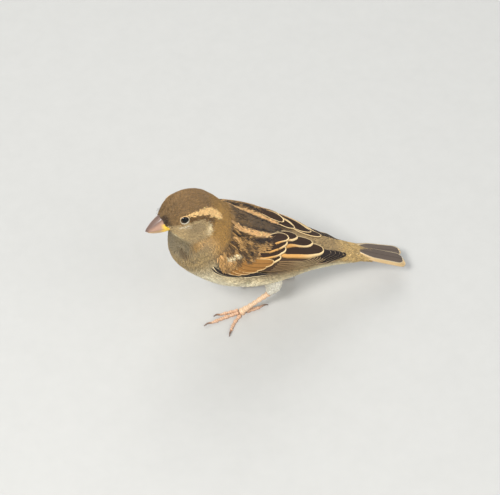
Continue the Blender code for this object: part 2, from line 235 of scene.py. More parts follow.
@dataclass
class Shell:
    """The outside of some nodes as a smooth grid of points round the spine.

    Rays find it from the reaches, which are told along the spine in millimetres. The crease of the nape is
    levelled between the nape's two places, with ends of the nape's softness.
    """

    spine: Spine | Limb
    nodes: tuple[str, ...]
    first: float = 0.0
    last: float = 6.8
    rows: int = 205
    columns: int = 144
    reaches: Curve = (
        (0, 9), (0.25, 14), (0.6, 19), (1, 22), (2, 27), (3, 28), (4, 25), (5, 18), (6, 13), (7, 12))
    softening: int = 3
    nape: Pair = (0.9, 2.1)
    nape_soft: float = 0.2
    levelling: int = 30
    points: Array = field(init=False)
    normals: Array = field(init=False)

    def __post_init__(self) -> None:
        """Casts a ray inwards for each point of the grid, then smooths what they hit."""
        tree = tree_of(*self.nodes)
        along = np.linspace(self.first, self.last, self.rows)
        around = np.radians(np.arange(self.columns) * 360 / self.columns)
        centres, backs, lefts = self.spine.at(along)
        outwards = (np.cos(around)[None, :, None] * backs[:, None]
                    + np.sin(around)[None, :, None] * lefts[:, None])
        radii = np.full((self.rows, self.columns), np.nan)
        reaches = np.interp(along, *zip(*self.reaches)) * MM
        for row, reach in enumerate(reaches):
            for column in range(self.columns):
                ray = Vector(outwards[row, column])
                hit = tree.ray_cast(Vector(centres[row]) + ray * reach, -ray, reach)[3]
                if hit is not None:
                    radii[row, column] = reach - hit
        for column in range(self.columns):
            found = np.flatnonzero(~np.isnan(radii[:, column]))
            radii[:, column] = np.interp(range(self.rows), found, radii[found, column])
        for _ in range(self.softening):
            radii = (np.roll(radii, 1, axis=1) + 2 * radii + np.roll(radii, -1, axis=1)) / 4
            inner = (radii[:-2] + 2 * radii[1:-1] + radii[2:]) / 4
            radii = np.vstack([radii[:1], inner, radii[-1:]])
        radii = self.fill(radii, along)
        self.points = centres[:, None] + outwards * radii[..., None]
        down, across = self.steps()
        self.normals = unit(np.cross(across, down))
        facing = np.sum(self.normals * outwards, axis=-1, keepdims=True)
        self.normals *= np.where(facing < 0, -1, 1)

    def steps(self) -> Double:
        """Gives the steps from each point of the grid to the next, down the spine and round it."""
        across = (np.roll(self.points, -1, axis=1) - np.roll(self.points, 1, axis=1)) / 2
        return np.gradient(self.points, axis=0), across

    def fill(self, radii: Array, along: Array) -> Array:
        """Fills the crease of the nape, as the feathers that stand over it do.

        Args:
            radii: the grid's distances from the spine.
            along: the rows' places along the spine.

        Returns:
            The distances with the hollows levelled, none of them smaller than before.
        """
        start, stop = self.nape
        opening = ease(start, start + self.nape_soft, along)
        closing = 1 - ease(stop - self.nape_soft, stop, along)
        share = (opening * closing)[:, None]
        level = radii
        for _ in range(self.levelling):
            inner = (level[:-2] + 2 * level[1:-1] + level[2:]) / 4
            level = np.maximum(radii, np.vstack([level[:1], inner, level[-1:]]))
        return radii + (level - radii) * share

    def _read(self, grid: Array, along: Array, around: Array) -> Array:
        """Reads a grid between its points, wrapping round the body.

        Args:
            grid: what is told at each point.
            along: places along the spine.
            around: angles round it, in degrees.

        Returns:
            The grid's values at the places.
        """
        row = np.clip((along - self.first) / (self.last - self.first), 0, 1) * (self.rows - 1)
        column = (np.asarray(around) % 360) / 360 * self.columns
        r0 = np.clip(np.floor(row).astype(int), 0, self.rows - 2)
        c0 = np.floor(column).astype(int) % self.columns
        c1 = (c0 + 1) % self.columns
        fr, fc = (row - r0)[..., None], (column - np.floor(column))[..., None]
        near = grid[r0, c0] * (1 - fc) + grid[r0, c1] * fc
        far = grid[r0 + 1, c0] * (1 - fc) + grid[r0 + 1, c1] * fc
        return near * (1 - fr) + far * fr

    def at(self, along: Array, around: Array) -> Double:
        """Finds points of the shell and its normals, at places along the spine and angles round it."""
        along, around = np.broadcast_arrays(np.asarray(along, float), np.asarray(around, float))
        return self._read(self.points, along, around), unit(self._read(self.normals, along, around))

    def tree(self) -> BVHTree:
        """Builds a search tree over the shell's own faces.

        Returns:
            The tree.
        """
        numbers = np.arange(self.rows * self.columns).reshape(self.rows, self.columns)
        beside = np.roll(numbers, -1, axis=1)
        faces = np.stack([numbers[:-1], beside[:-1], beside[1:], numbers[1:]], axis=-1).reshape(-1, 4)
        return BVHTree.FromPolygons(self.points.reshape(-1, 3).tolist(), faces.tolist())

    def locate(self, points: Array) -> Triple:
        """Finds which place of the shell lies nearest to each point.

        Args:
            points: the points, in metres.

        Returns:
            Their places along the spine, their angles round it, and how far they are from the shell.
        """
        search = KDTree(self.rows * self.columns)
        for index, point in enumerate(self.points.reshape(-1, 3)):
            search.insert(point, index)
        search.balance()
        found = [search.find(point)[1:] for point in points]
        numbers = np.array([index for index, _ in found])
        along = self.first + numbers // self.columns * (self.last - self.first) / (self.rows - 1)
        return along, numbers % self.columns * 360.0 / self.columns, np.array([gap for _, gap in found])

    def sunk(self, points: Array, place: Triple, depth: float,
             reach: float = math.inf) -> Array:
        """Presses points down until they lie deep enough under the shell.

        Args:
            points: the points, in metres.
            place: what locate tells of them.
            depth: how deep they have to lie, in millimetres.
            reach: how near to the shell a point is pressed, in millimetres.

        Returns:
            The points, moved where they had to be.
        """
        along, around, away = place
        surface, normals = self.at(along, around)
        over = np.sum((points - surface) * normals, axis=1) + depth * MM
        return points - normals * (np.clip(over, 0, None) * (away < reach * MM))[:, None]


class Hue(Enum):
    """The bird's colours, each as an sRGB code."""

    CROWN = "8f6f46"
    FOREHEAD = "8a6c45"
    NAPE = "b58a48"
    GOLD = "d2aa72"
    BROW = "f9ca88"
    STRIPE = "74552f"
    CHEEK = "bfa476"
    CHEEK_DARK = "a38c66"
    CRESCENT = "f0d8a8"
    EYE_RING = "e8dec6"
    LORES = "4a3828"
    MALAR = "e0d2aa"
    CHIN = "8f7f60"
    THROAT = "9c8a68"
    BREAST = "ad9262"
    SMUDGE = "6f5838"
    BELLY = "f4e8c8"
    VENT = "e6dab6"
    FLANK = "eedcb2"
    MANTLE = "6a543a"
    STREAK = "261b14"
    BRACE = "ffc986"
    SHOULDER = "b98e54"
    SHOULDER_DARK = "46321f"
    COVERT_OCHRE = "9a6c37"
    PANEL_DARK = "4a3829"
    CREAM = "f2dcae"
    RUMP = "a88c60"
    TAIL_COVERT = "c9a76c"
    TROUSERS = "f4ecd8"
    QUILL_DARK = "36261b"
    PRIMARY_DARK = "2b2320"
    TERTIAL_EDGE = "f0d09a"
    OCHRE_EDGE = "d69f5a"
    COVERT_EDGE = "efc68a"
    PANEL_EDGE = "a5845a"
    PRIMARY_EDGE = "c8ae8c"
    TAIL_DARK = "5c5047"
    TAIL_EDGE = "ecd6ae"
    TAIL_OUTER = "ecc994"
    HORN = "ad8771"
    HORN_DARK = "4d3c36"
    BILL_YELLOW = "c09a6c"
    GAPE = "ffcf3e"
    LEG = "dcbc98"
    LEG_DARK = "ab7257"
    CLAW = "6e5545"
    CLAW_ROOT = "b48c70"
    LID = "231b16"
    IRIS = "050303"
    FLOOR = "b9b7b2"

    @property
    def rgb(self) -> Array:
        """Gives the colour as linear red, green and blue."""
        parts = np.array([int(self.value[k:k + 2], 16) / 255 for k in (0, 2, 4)])
        return np.where(parts <= 0.04045, parts / 12.92, ((parts + 0.055) / 1.055) ** 2.4)


def ease(low: float, high: float, value: Array) -> Array:
    """Climbs smoothly from 0 at low to 1 at high."""
    share = np.clip((value - low) / (high - low), 0, 1)
    return share * share * (3 - 2 * share)


def within(value: Array, middle_at: Array, half: Array, soft: float) -> Array:
    """Gives 1 inside a band round a middle and 0 outside it, with a soft edge."""
    return 1 - ease(-soft / 2, soft / 2, np.abs(value - middle_at) - half)


def flecks(along: Array, side: Array, run: float, pitch: float, seed: int) -> Array:
    """Makes a field of long soft flecks that lie with the plumage.

    Args:
        along: places along the spine.
        side: angles from the back line, in degrees.
        run: the length of a fleck along the spine.
        pitch: its width, in degrees.
        seed: which field it is.

    Returns:
        A value from 0 to 1 at each place.
    """
    size = 64
    table = np.random.default_rng(seed).uniform(0, 1, (size, size))
    x, y = np.broadcast_arrays(np.asarray(along) / run, np.asarray(side) / pitch)
    column, row = np.floor(x).astype(int), np.floor(y).astype(int)
    across, up = ease(0, 1, x - column), ease(0, 1, y - row)
    here, beside = column % size, (column + 1) % size
    low, high = (table[here, line % size] * (1 - across) + table[beside, line % size] * across
                 for line in (row, row + 1))
    return low * (1 - up) + high * up


def blend(base: Array, hue: Hue, weight: Array) -> Array:
    """Lays a hue over colours with a weight for each."""
    weight = np.asarray(weight)[..., None]
    return base * (1 - weight) + hue.rgb * weight


def painted(ground: Hue, over: Array, *marks: tuple[Hue, Array]) -> Array:
    """Paints places in one hue, then lays others over it, one after another.

    Args:
        ground: the first hue.
        over: an array with a value for each place.
        marks: the other hues, each with its weight at the places.

    Returns:
        A linear colour for each place.
    """
    colour = np.broadcast_to(ground.rgb, (*over.shape, 3))
    for hue, weight in marks:
        colour = blend(colour, hue, weight)
    return colour


@dataclass(frozen=True)
class Markings:
    """Where the plumage's colours lie, asked by the skin and by every small feather.

    A mark is told by its place along the spine and the angle from the back line, so both sides match.
    """

    brow_line: Curve = ((0.2, 46), (0.45, 43), (0.7, 40), (0.9, 38), (1.3, 35), (1.7, 34))
    brow_half: Curve = ((0.24, 0), (0.36, 1.6), (0.6, 4.6), (0.9, 6.6), (1.4, 7.6), (1.72, 3))
    cheek_top: Curve = ((0.2, 62), (0.55, 58), (0.95, 54), (1.3, 57), (1.6, 64))
    cheek_rear: Curve = ((60, 1.6), (75, 1.62), (96, 1.5), (117, 1.2))

    def head(self, along: Array, side: Array) -> Array:
        """Colours the head: cap, brow, eye stripe, cheek, lores and throat.

        Args:
            along: places along the spine.
            side: angles from the back line, 0 to 180.

        Returns:
            A linear colour for each place.
        """
        brow = np.interp(along, *zip(*self.brow_line))
        half = np.interp(along, *zip(*self.brow_half))
        cheek = np.interp(along, *zip(*self.cheek_top))
        nape = ease(0.9, 1.3, along) + ease(1.25, 1.7, along) * ease(-5, 20, side)
        stripe = within(side, (brow + half + cheek) / 2, (cheek - brow - half) / 2, 3)
        behind = along - np.interp(side, *zip(*self.cheek_rear))
        on_brow = within(side, brow, half, 2.5)
        throat = side - 118 - 10 * ease(0.9, 1.6, along)
        mottle = 0.3 * flecks(along, side, 0.05, 3.0, 3) * (1 - 0.7 * on_brow)
        return painted(
            Hue.CROWN, along,
            (Hue.FOREHEAD, 1 - ease(0.1, 0.5, along)),
            (Hue.NAPE, 0.5 * nape),
            (Hue.STRIPE, stripe * ease(0.42, 0.6, along) * (1 - ease(1.3, 1.6, along))),
            (Hue.GOLD, ease(0, 0.12, behind) * within(side, 96, 16, 20)),
            (Hue.CHEEK, ease(-2, 2, side - cheek) * (1 - ease(-0.1, 0.08, behind))),
            (Hue.CHEEK_DARK, 0.8 * within(side, 76, 14, 12) * within(along, 0.85, 0.25, 0.3)),
            (Hue.CRESCENT, within(along, 1.42 + (side - 68) * 0.009, 0.08, 0.14) * within(side, 68, 12, 8)),
            (Hue.BROW, on_brow * ease(0.24, 0.34, along) * (1 - ease(1.66, 1.76, along))),
            (Hue.CHIN, ease(-14, 10, throat)),
            (Hue.SMUDGE, self.smudge(along, side) * ease(1.2, 1.45, along)),
            (Hue.MALAR, within(throat, -2, 3, 5) * within(along, 0.42, 0.16, 0.12)),
            (Hue.LORES, (1 - ease(0.1, 0.17, along)) * within(side, 38, 20, 14)),
            (Hue.EYE_RING, 0.6 * within(side, 69, 2, 3) * within(along, 0.45, 0.14, 0.1)),
        ) * (1.1 - mottle)[..., None]

    @staticmethod
    def smudge(along: Array, side: Array) -> Array:
        """Gives the weight of the dark smudge that slants across the side of the throat."""
        return 0.85 * within(side, 150 - 20 * (along - 1.45), 7, 10)

    def body(self, along: Array, side: Array) -> Array:
        """Colours the body behind the head.

        Args:
            along: places along the spine.
            side: angles from the back line, 0 to 180.

        Returns:
            A linear colour for each place.
        """
        under = ease(-20, 18, side - 98 - 4 * ease(1.6, 2.2, along))
        return painted(
            Hue.MANTLE, along,
            (Hue.NAPE, 1 - ease(2.0, 2.3, along)),
            (Hue.RUMP, ease(3.9, 4.3, along)),
            (Hue.TAIL_COVERT, ease(4.9, 5.4, along)),
            (Hue.NAPE, ease(38, 60, side) * (1 - ease(2.15, 2.5, along))),
            (Hue.GOLD, 0.8 * within(side, 96, 16, 30) * (1 - ease(1.95, 2.5, along))),
            (Hue.THROAT, under),
            (Hue.BREAST, under * ease(1.5, 2.2, along)),
            (Hue.SMUDGE, self.smudge(along, side) * within(along, 1.6, 0.35, 0.3)),
            (Hue.FLANK, under * ease(2.2, 3.0, along)),
            (Hue.BELLY, ease(100, 135, side) * ease(2.3, 3.2, along)),
            (Hue.CREAM, within(side, 101, 4, 6) * within(along, 2.85, 0.3, 0.25)),
            (Hue.VENT, under * ease(4.3, 5.0, along)),
        ) * (1.12 - 0.3 * flecks(along, side, 0.22, 3.4, 4))[..., None]

    def at(self, along: Array, around: Array) -> Array:
        """Colours places on the skin and the coat.

        Args:
            along: places along the spine.
            around: angles round it, in degrees.

        Returns:
            A linear colour for each place.
        """
        side = away_from_back(around)
        back = 1.75 + 0.25 * within(side, 0, 20, 20)
        front = (1 - ease(-0.12, 0.12, along - back))[..., None]
        return self.head(along, side) * front + self.body(along, side) * (1 - front)


class Mesh:
    """Turns arrays of points and faces into a piece, with colours and maps on its points."""

    @staticmethod
    def make(name: str, points: Array, faces: list[Array]) -> Piece:
        """Makes an object from arrays.

        Args:
            name: the piece's name.
            points: its points, in metres, one in each row.
            faces: arrays of point numbers, one face in each row, one array for each count of corners.

        Returns:
            The new object, at the origin and shaded smooth.
        """
        corners = np.concatenate([rows.ravel() for rows in faces]).astype(np.int32)
        counts = np.concatenate([np.full(len(rows), rows.shape[1]) for rows in faces])
        starts = np.concatenate([[0], np.cumsum(counts)[:-1]]).astype(np.int32)
        mesh = bpy.data.meshes.new(name)
        mesh.vertices.add(len(points))
        mesh.vertices.foreach_set("co", np.asarray(points, np.float32).ravel())
        mesh.loops.add(len(corners))
        mesh.loops.foreach_set("vertex_index", corners)
        mesh.polygons.add(len(starts))
        mesh.polygons.foreach_set("loop_start", starts)
        mesh.polygons.foreach_set("use_smooth", np.ones(len(starts), bool))
        mesh.update(calc_edges=True)
        mesh.validate()
        piece = bpy.data.objects.new(name, mesh)
        bpy.context.scene.collection.objects.link(piece)
        return piece

    @staticmethod
    def colour(piece: Piece, layer: str, colours: Array) -> None:
        """Puts a linear colour on each point of a piece, in a named layer."""
        data = piece.data.attributes.new(layer, "FLOAT_COLOR", "POINT").data
        data.foreach_set("color", np.hstack([colours, np.ones((len(colours), 1))]).astype(np.float32).ravel())

    @staticmethod
    def vector(piece: Piece, layer: str, vectors: Array) -> None:
        """Puts three numbers on each point of a piece, in a named layer."""
        data = piece.data.attributes.new(layer, "FLOAT_VECTOR", "POINT").data
        data.foreach_set("vector", np.asarray(vectors, np.float32).ravel())

    @staticmethod
    def map(piece: Piece, layer: str, places: Array) -> None:
        """Gives a piece a UV map.

        Args:
            piece: the piece.
            layer: the map's name.
            places: one place for each point, or for each corner of its faces.
        """
        mesh = piece.data
        if len(places) != len(mesh.loops):
            corners = np.empty(len(mesh.loops), np.int32)
            mesh.loops.foreach_get("vertex_index", corners)
            places = places[corners]
        mesh.uv_layers.new(name=layer).data.foreach_set("uv", np.asarray(places, np.float32).ravel())

    @staticmethod
    def points(piece: Piece) -> Array:
        """Reads the points of a piece.

        Args:
            piece: the piece.

        Returns:
            The points, in metres, one in each row.
        """
        flat = np.empty(len(piece.data.vertices) * 3, np.float32)
        piece.data.vertices.foreach_get("co", flat)
        return flat.reshape(-1, 3).astype(float)

    @staticmethod
    def move(piece: Piece, points: Array) -> None:
        """Puts the points of a piece in new places."""
        piece.data.vertices.foreach_set("co", points.astype(np.float32).ravel())

    @staticmethod
    def repeat(faces: list[tuple[int, ...]], count: int, each: int) -> Array:
        """Repeats the faces of one copy for many, whose points follow one another in a mesh."""
        shift = (np.arange(count) * each)[:, None, None]
        return (np.array(faces)[None] + shift).reshape(-1, len(faces[0]))


def dress(piece: Piece, material: bpy.types.Material, nodes: tuple[str, ...] = ()) -> None:
    """Gives a piece its material and its body, and hides the CAD nodes that it replaces.

    Args:
        piece: the piece.
        material: its material.
        nodes: the CAD nodes that it replaces.
    """
    piece.data.materials.clear()
    piece.data.materials.append(material)
    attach(piece, "root")
    if nodes:
        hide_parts(*nodes)
    log.info("%s: %d faces", piece.name, len(piece.data.polygons))


def refined(name: str, nodes: tuple[str, ...], grain: float, rounds: int) -> Piece:
    """Copies CAD nodes into one closed mesh of fine even faces.

    Args:
        name: the new piece's name.
        nodes: the nodes to copy and join.
        grain: the size of its faces, in millimetres.
        rounds: how often its surface is smoothed.

    Returns:
        The new object, shaded smooth.
    """
    bpy.ops.object.select_all(action="DESELECT")
    for node in nodes:
        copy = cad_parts[node].copy()
        copy.data = copy.data.copy()
        copy.parent = None
        for key in list(copy.keys()):
            del copy[key]
        bpy.context.scene.collection.objects.link(copy)
        copy.select_set(True)
        bpy.context.view_layer.objects.active = copy
    bpy.ops.object.join()
    piece = bpy.context.active_object
    piece.name = piece.data.name = name
    shape = piece.modifiers.new("Even faces", "REMESH")
    shape.mode = "VOXEL"
    shape.voxel_size = grain * MM
    bpy.ops.object.modifier_apply(modifier=shape.name)
    soft = piece.modifiers.new("Soften", "SMOOTH")
    soft.iterations = rounds
    bpy.ops.object.modifier_apply(modifier=soft.name)
    bpy.ops.object.shade_smooth()
    piece.select_set(False)
    return piece


def shrink(piece: Piece, depth: float) -> None:
    """Draws a piece in along its normals, by the same depth everywhere.

    Args:
        piece: the piece.
        depth: the depth, in millimetres.
    """
    bpy.context.view_layer.objects.active = piece
    bpy.ops.object.mode_set(mode="EDIT")
    bpy.ops.mesh.select_all(action="SELECT")
    bpy.ops.transform.shrink_fatten(value=-depth * MM)
    bpy.ops.object.mode_set(mode="OBJECT")


def settled(name: str) -> Piece:
    """Names the primitive that was added last, shades it smooth and applies its place.

    Args:
        name: the piece's name.

    Returns:
        The piece.
    """
    bpy.ops.object.transform_apply(location=True, rotation=True, scale=True)
    bpy.ops.object.shade_smooth()
    piece = bpy.context.active_object
    piece.name = piece.data.name = name
    return piece


@dataclass
class Locks:
    """Thin closed locks of plumage, all of one build, in one mesh.

    A lock has three points round it at each stop along its length, and one at its tip. The swell is its
    width at each stop as a share of the greatest, the ridge is its height as a share of its width, and the
    patch is the size of its field on the map for baking.
    """

    stops: tuple[float, ...] = (0.0, 0.45, 0.8)
    swell: tuple[float, ...] = (0.55, 1.0, 0.8)
    ridge: float = 0.22
    patch: float = 0.003

    @property
    def places(self) -> Array:
        """Gives the places of the stops and of the tip, as shares of the length."""
        return np.array([*self.stops, 1.0])

    def build(self, name: str, paths: Array, normals: Array, widths: Array,
              colours: Array, roots: Array) -> Piece:
        """Builds one lock for each path.

        Args:
            name: the piece's name.
            paths: for each lock, a point at each stop and one at its tip, in metres.
            normals: the direction away from the body at each of those points.
            widths: the greatest width of each lock, in metres.
            colours: a linear colour at each of those points.
            roots: each lock's place on the map of the body, from 0 to 1.

        Returns:
            The new object, with the colours and its map for baking.
        """
        count, stops = len(paths), len(self.stops)
        heading = unit(np.gradient(paths, axis=1))
        sideways = unit(np.cross(heading, normals))[:, :stops]
        half = widths[:, None, None] * np.array(self.swell)[None, :, None] / 2
        rings = np.stack([paths[:, :stops] - sideways * half,
                          paths[:, :stops] + normals[:, :stops] * half * 2 * self.ridge,
                          paths[:, :stops] + sideways * half], axis=2)
        points = np.concatenate([rings.reshape(count, stops * 3, 3), paths[:, stops:]], axis=1)
        each = stops * 3 + 1
        quads = [(3 * row + k, 3 * row + (k + 1) % 3, 3 * row + 3 + (k + 1) % 3, 3 * row + 3 + k)
                 for row in range(stops - 1) for k in range(3)]
        last = 3 * stops - 3
        tris = [(0, 2, 1)] + [(last + k, last + (k + 1) % 3, last + 3) for k in range(3)]
        faces = [Mesh.repeat(quads, count, each), Mesh.repeat(tris, count, each)]
        piece = Mesh.make(name, points.reshape(-1, 3), faces)
        tints = np.concatenate([np.repeat(colours[:, :stops], 3, axis=1), colours[:, stops:]], axis=1)
        Mesh.colour(piece, "Markings", tints.reshape(-1, 3))
        across = np.array([0, 0.5, 1] * stops + [0.5])
        down = np.array([stop + lean for stop in self.stops for lean in (0, 0.15, 0)] + [1.0])
        spot = np.stack([across, down], axis=1) * self.patch
        Mesh.map(piece, "OFBake", (roots[:, None] * (1 - self.patch) + spot[None]).reshape(-1, 2))
        return piece


@dataclass
class Tract:
    """One tract of small feathers, each a fan of thin locks that lies along the body.

    Lengths are in millimetres: the spacing, a feather's length at the front and the rear of the tract, its
    width, its tip's lift over the shell, its root's bedding under it and the stray of its colours' places.
    """

    name: str
    slot: str
    shell: Shell
    along: Pair
    side: Pair
    colours: Callable[[Array, Array], Array]
    spacing: float = 1.2
    lengths: Pair = (5.5, 7.0)
    width: float = 2.6
    locks: int = 5
    spread: float = 16.0
    lift: float = 0.05
    bedding: float = 0.9
    ruffle: float = 0.12
    contrast: float = 0.08
    uneven: float = 0.08
    stray: float = 0.3
    turned: float = 5.0
    toned: float = 0.06
    rounding: float = 0.22
    tries: int = 5
    keep: Callable[[Array], Array] | None = None
    limit: Callable[[Array], Array] | None = None
    seed: int = 1

    def sow(self, draw: np.random.Generator) -> Double:
        """Scatters the feathers' roots evenly, none nearer to another than the spacing.

        Args:
            draw: the source of chance.

        Returns:
            Their places along the spine and their angles round it.
        """
        shell, rows, columns = self.shell, self.shell.rows, self.shell.columns
        areas = np.linalg.norm(np.cross(*shell.steps()), axis=-1)
        along = np.linspace(shell.first, shell.last, rows)[:, None]
        around = (np.arange(columns) * 360 / columns)[None]
        side = away_from_back(around)
        inside = (along >= self.along[0]) & (along <= self.along[1])
        inside = inside & (side >= self.side[0]) & (side <= self.side[1])
        chance = (areas * inside).ravel()
        step = self.spacing * MM
        tries = int(self.tries * chance.sum() / step ** 2)
        cells = draw.choice(len(chance), tries, p=chance / chance.sum())
        whole = shell.last - shell.first
        along = along[cells // columns, 0] + draw.uniform(-0.5, 0.5, tries) * whole / (rows - 1)
        around = around[0, cells % columns] + draw.uniform(-0.5, 0.5, tries) * 360 / columns
        points, _ = shell.at(along, around)
        fits = np.ones(tries, bool) if self.keep is None else self.keep(points)
        taken: dict[tuple[int, int, int], list[int]] = {}
        chosen = []
        keys = np.floor(points / step).astype(int)
        for index in np.flatnonzero(fits):
            x, y, z = keys[index]
            near = [other for a in (-1, 0, 1) for b in (-1, 0, 1) for c in (-1, 0, 1)
                    for other in taken.get((x + a, y + b, z + c), ())]
            if near and np.min(np.sum((points[near] - points[index]) ** 2, axis=1)) < step * step:
                continue
            taken.setdefault((x, y, z), []).append(index)
            chosen.append(index)
        return along[chosen], around[chosen]

    def build(self, material: bpy.types.Material) -> Piece:
        """Grows the tract's feathers as one piece.

        Args:
            material: the plumage's material.

        Returns:
            The new piece.
        """
        draw = np.random.default_rng(self.seed)
        along, around = self.sow(draw)
        count = len(along)
        place = (along - self.along[0]) / (self.along[1] - self.along[0])
        length = self.lengths[0] + (self.lengths[1] - self.lengths[0]) * place
        length = length * draw.uniform(0.85, 1.15, count)
        yaw = np.radians(draw.normal(0, self.turned, count))
        raised = draw.uniform(-0.5, 1, count) * self.ruffle
        tone = 1 + draw.normal(0, self.toned, (count, 1, 1, 1))
        step = 0.02
        here, _ = self.shell.at(along, around)
        if self.limit is not None:
            length = np.minimum(length, self.limit(here))
        per_along = np.linalg.norm(self.shell.at(along + step, around)[0] - here, axis=1) / step / MM
        per_degree = np.linalg.norm(self.shell.at(along, around + 1)[0] - here, axis=1) / MM
        per_along, per_degree = per_along[:, None, None], per_degree[:, None, None]
        fan = np.linspace(-1, 1, self.locks) if self.locks > 1 else np.zeros(1)
        twist = np.radians(draw.normal(0, 3, (count, self.locks)))
        turn = yaw[:, None] + np.radians(self.spread) * fan + twist
        reach = length[:, None] * (1 - self.rounding * fan ** 2)
        reach = reach * draw.uniform(0.9, 1.08, (count, self.locks))
        grow = Locks()
        stops = grow.places
        run = stops[None, None] * reach[..., None]
        line_along = along[:, None, None] + run * np.cos(turn)[..., None] / per_along
        start = fan[None, :, None] * self.width * 0.2
        line_around = around[:, None, None] + (run * np.sin(turn)[..., None] + start) / per_degree
        points, normals = self.shell.at(line_along, line_around)
        height = (-self.bedding + (self.bedding + self.lift) * stops ** 0.8)[None, None]
        height = height + raised[:, None, None] * stops + 0.06 * (1 - fan ** 2)[None, :, None]
        paths = points + normals * height[..., None] * MM
        strayed = draw.normal(0, self.stray, (2, count, self.locks, 1))
        shown = self.colours(line_along[..., -2:-1] + strayed[0] / per_along,
                             line_around[..., -2:-1] + strayed[1] / per_degree)
        shade = (0.62 + 0.44 * stops)[None, None, :, None]
        middle_shade = 1 - self.contrast * (1 - 2 * fan ** 2)[None, :, None, None]
        each_lock = 1 + draw.normal(0, self.uneven, (count, self.locks, 1, 1))
        colours = np.clip(shown * shade * tone * middle_shade * each_lock, 0, 1)
        flat = (count * self.locks, len(stops), 3)
        widths = np.full(flat[0], 1.7 * self.width / self.locks * MM) * draw.uniform(0.8, 1.2, flat[0])
        down = (along - self.shell.first) / (self.shell.last - self.shell.first)
        spot = np.clip(np.stack([(around % 360) / 360, down], axis=1), 0, 1)
        piece = grow.build(self.name, paths.reshape(flat), normals.reshape(flat), widths,
                           np.broadcast_to(colours, (count, self.locks, len(stops), 3)).reshape(flat),
                           np.repeat(spot, self.locks, axis=0))
        dress(piece, material)
        return piece


@dataclass(frozen=True)
class VaneStyle:
    """How the web of one kind of large feather looks.

    The edges are the widths of the pale fringe on the outer web, on the inner web and at the tip, in
    millimetres. The outer web's fringe has the flank's hue and narrows to the outer end's share at the tip.
    The tip narrows over the roundness, a share of the length. Camber and thickness are in millimetres, and
    the greater the rise is, the nearer to its tip a feather climbs from its root's height to its tip's.
    """

    dark: Hue
    fringe: Hue
    flank: Hue
    edges: tuple[float, float, float]
    outer_end: float = 1.0
    roundness: float = 0.3
    camber: float = 0.25
    thickness: float = 0.16
    rise: float = 0.7


@dataclass(frozen=True)
class Vane:
    """One large feather, from its root to its tip, both told along and round the spine."""

    root: Pair
    tip: Pair
    width: float
    lift: Pair
    style: VaneStyle
    bow: float = 0.0


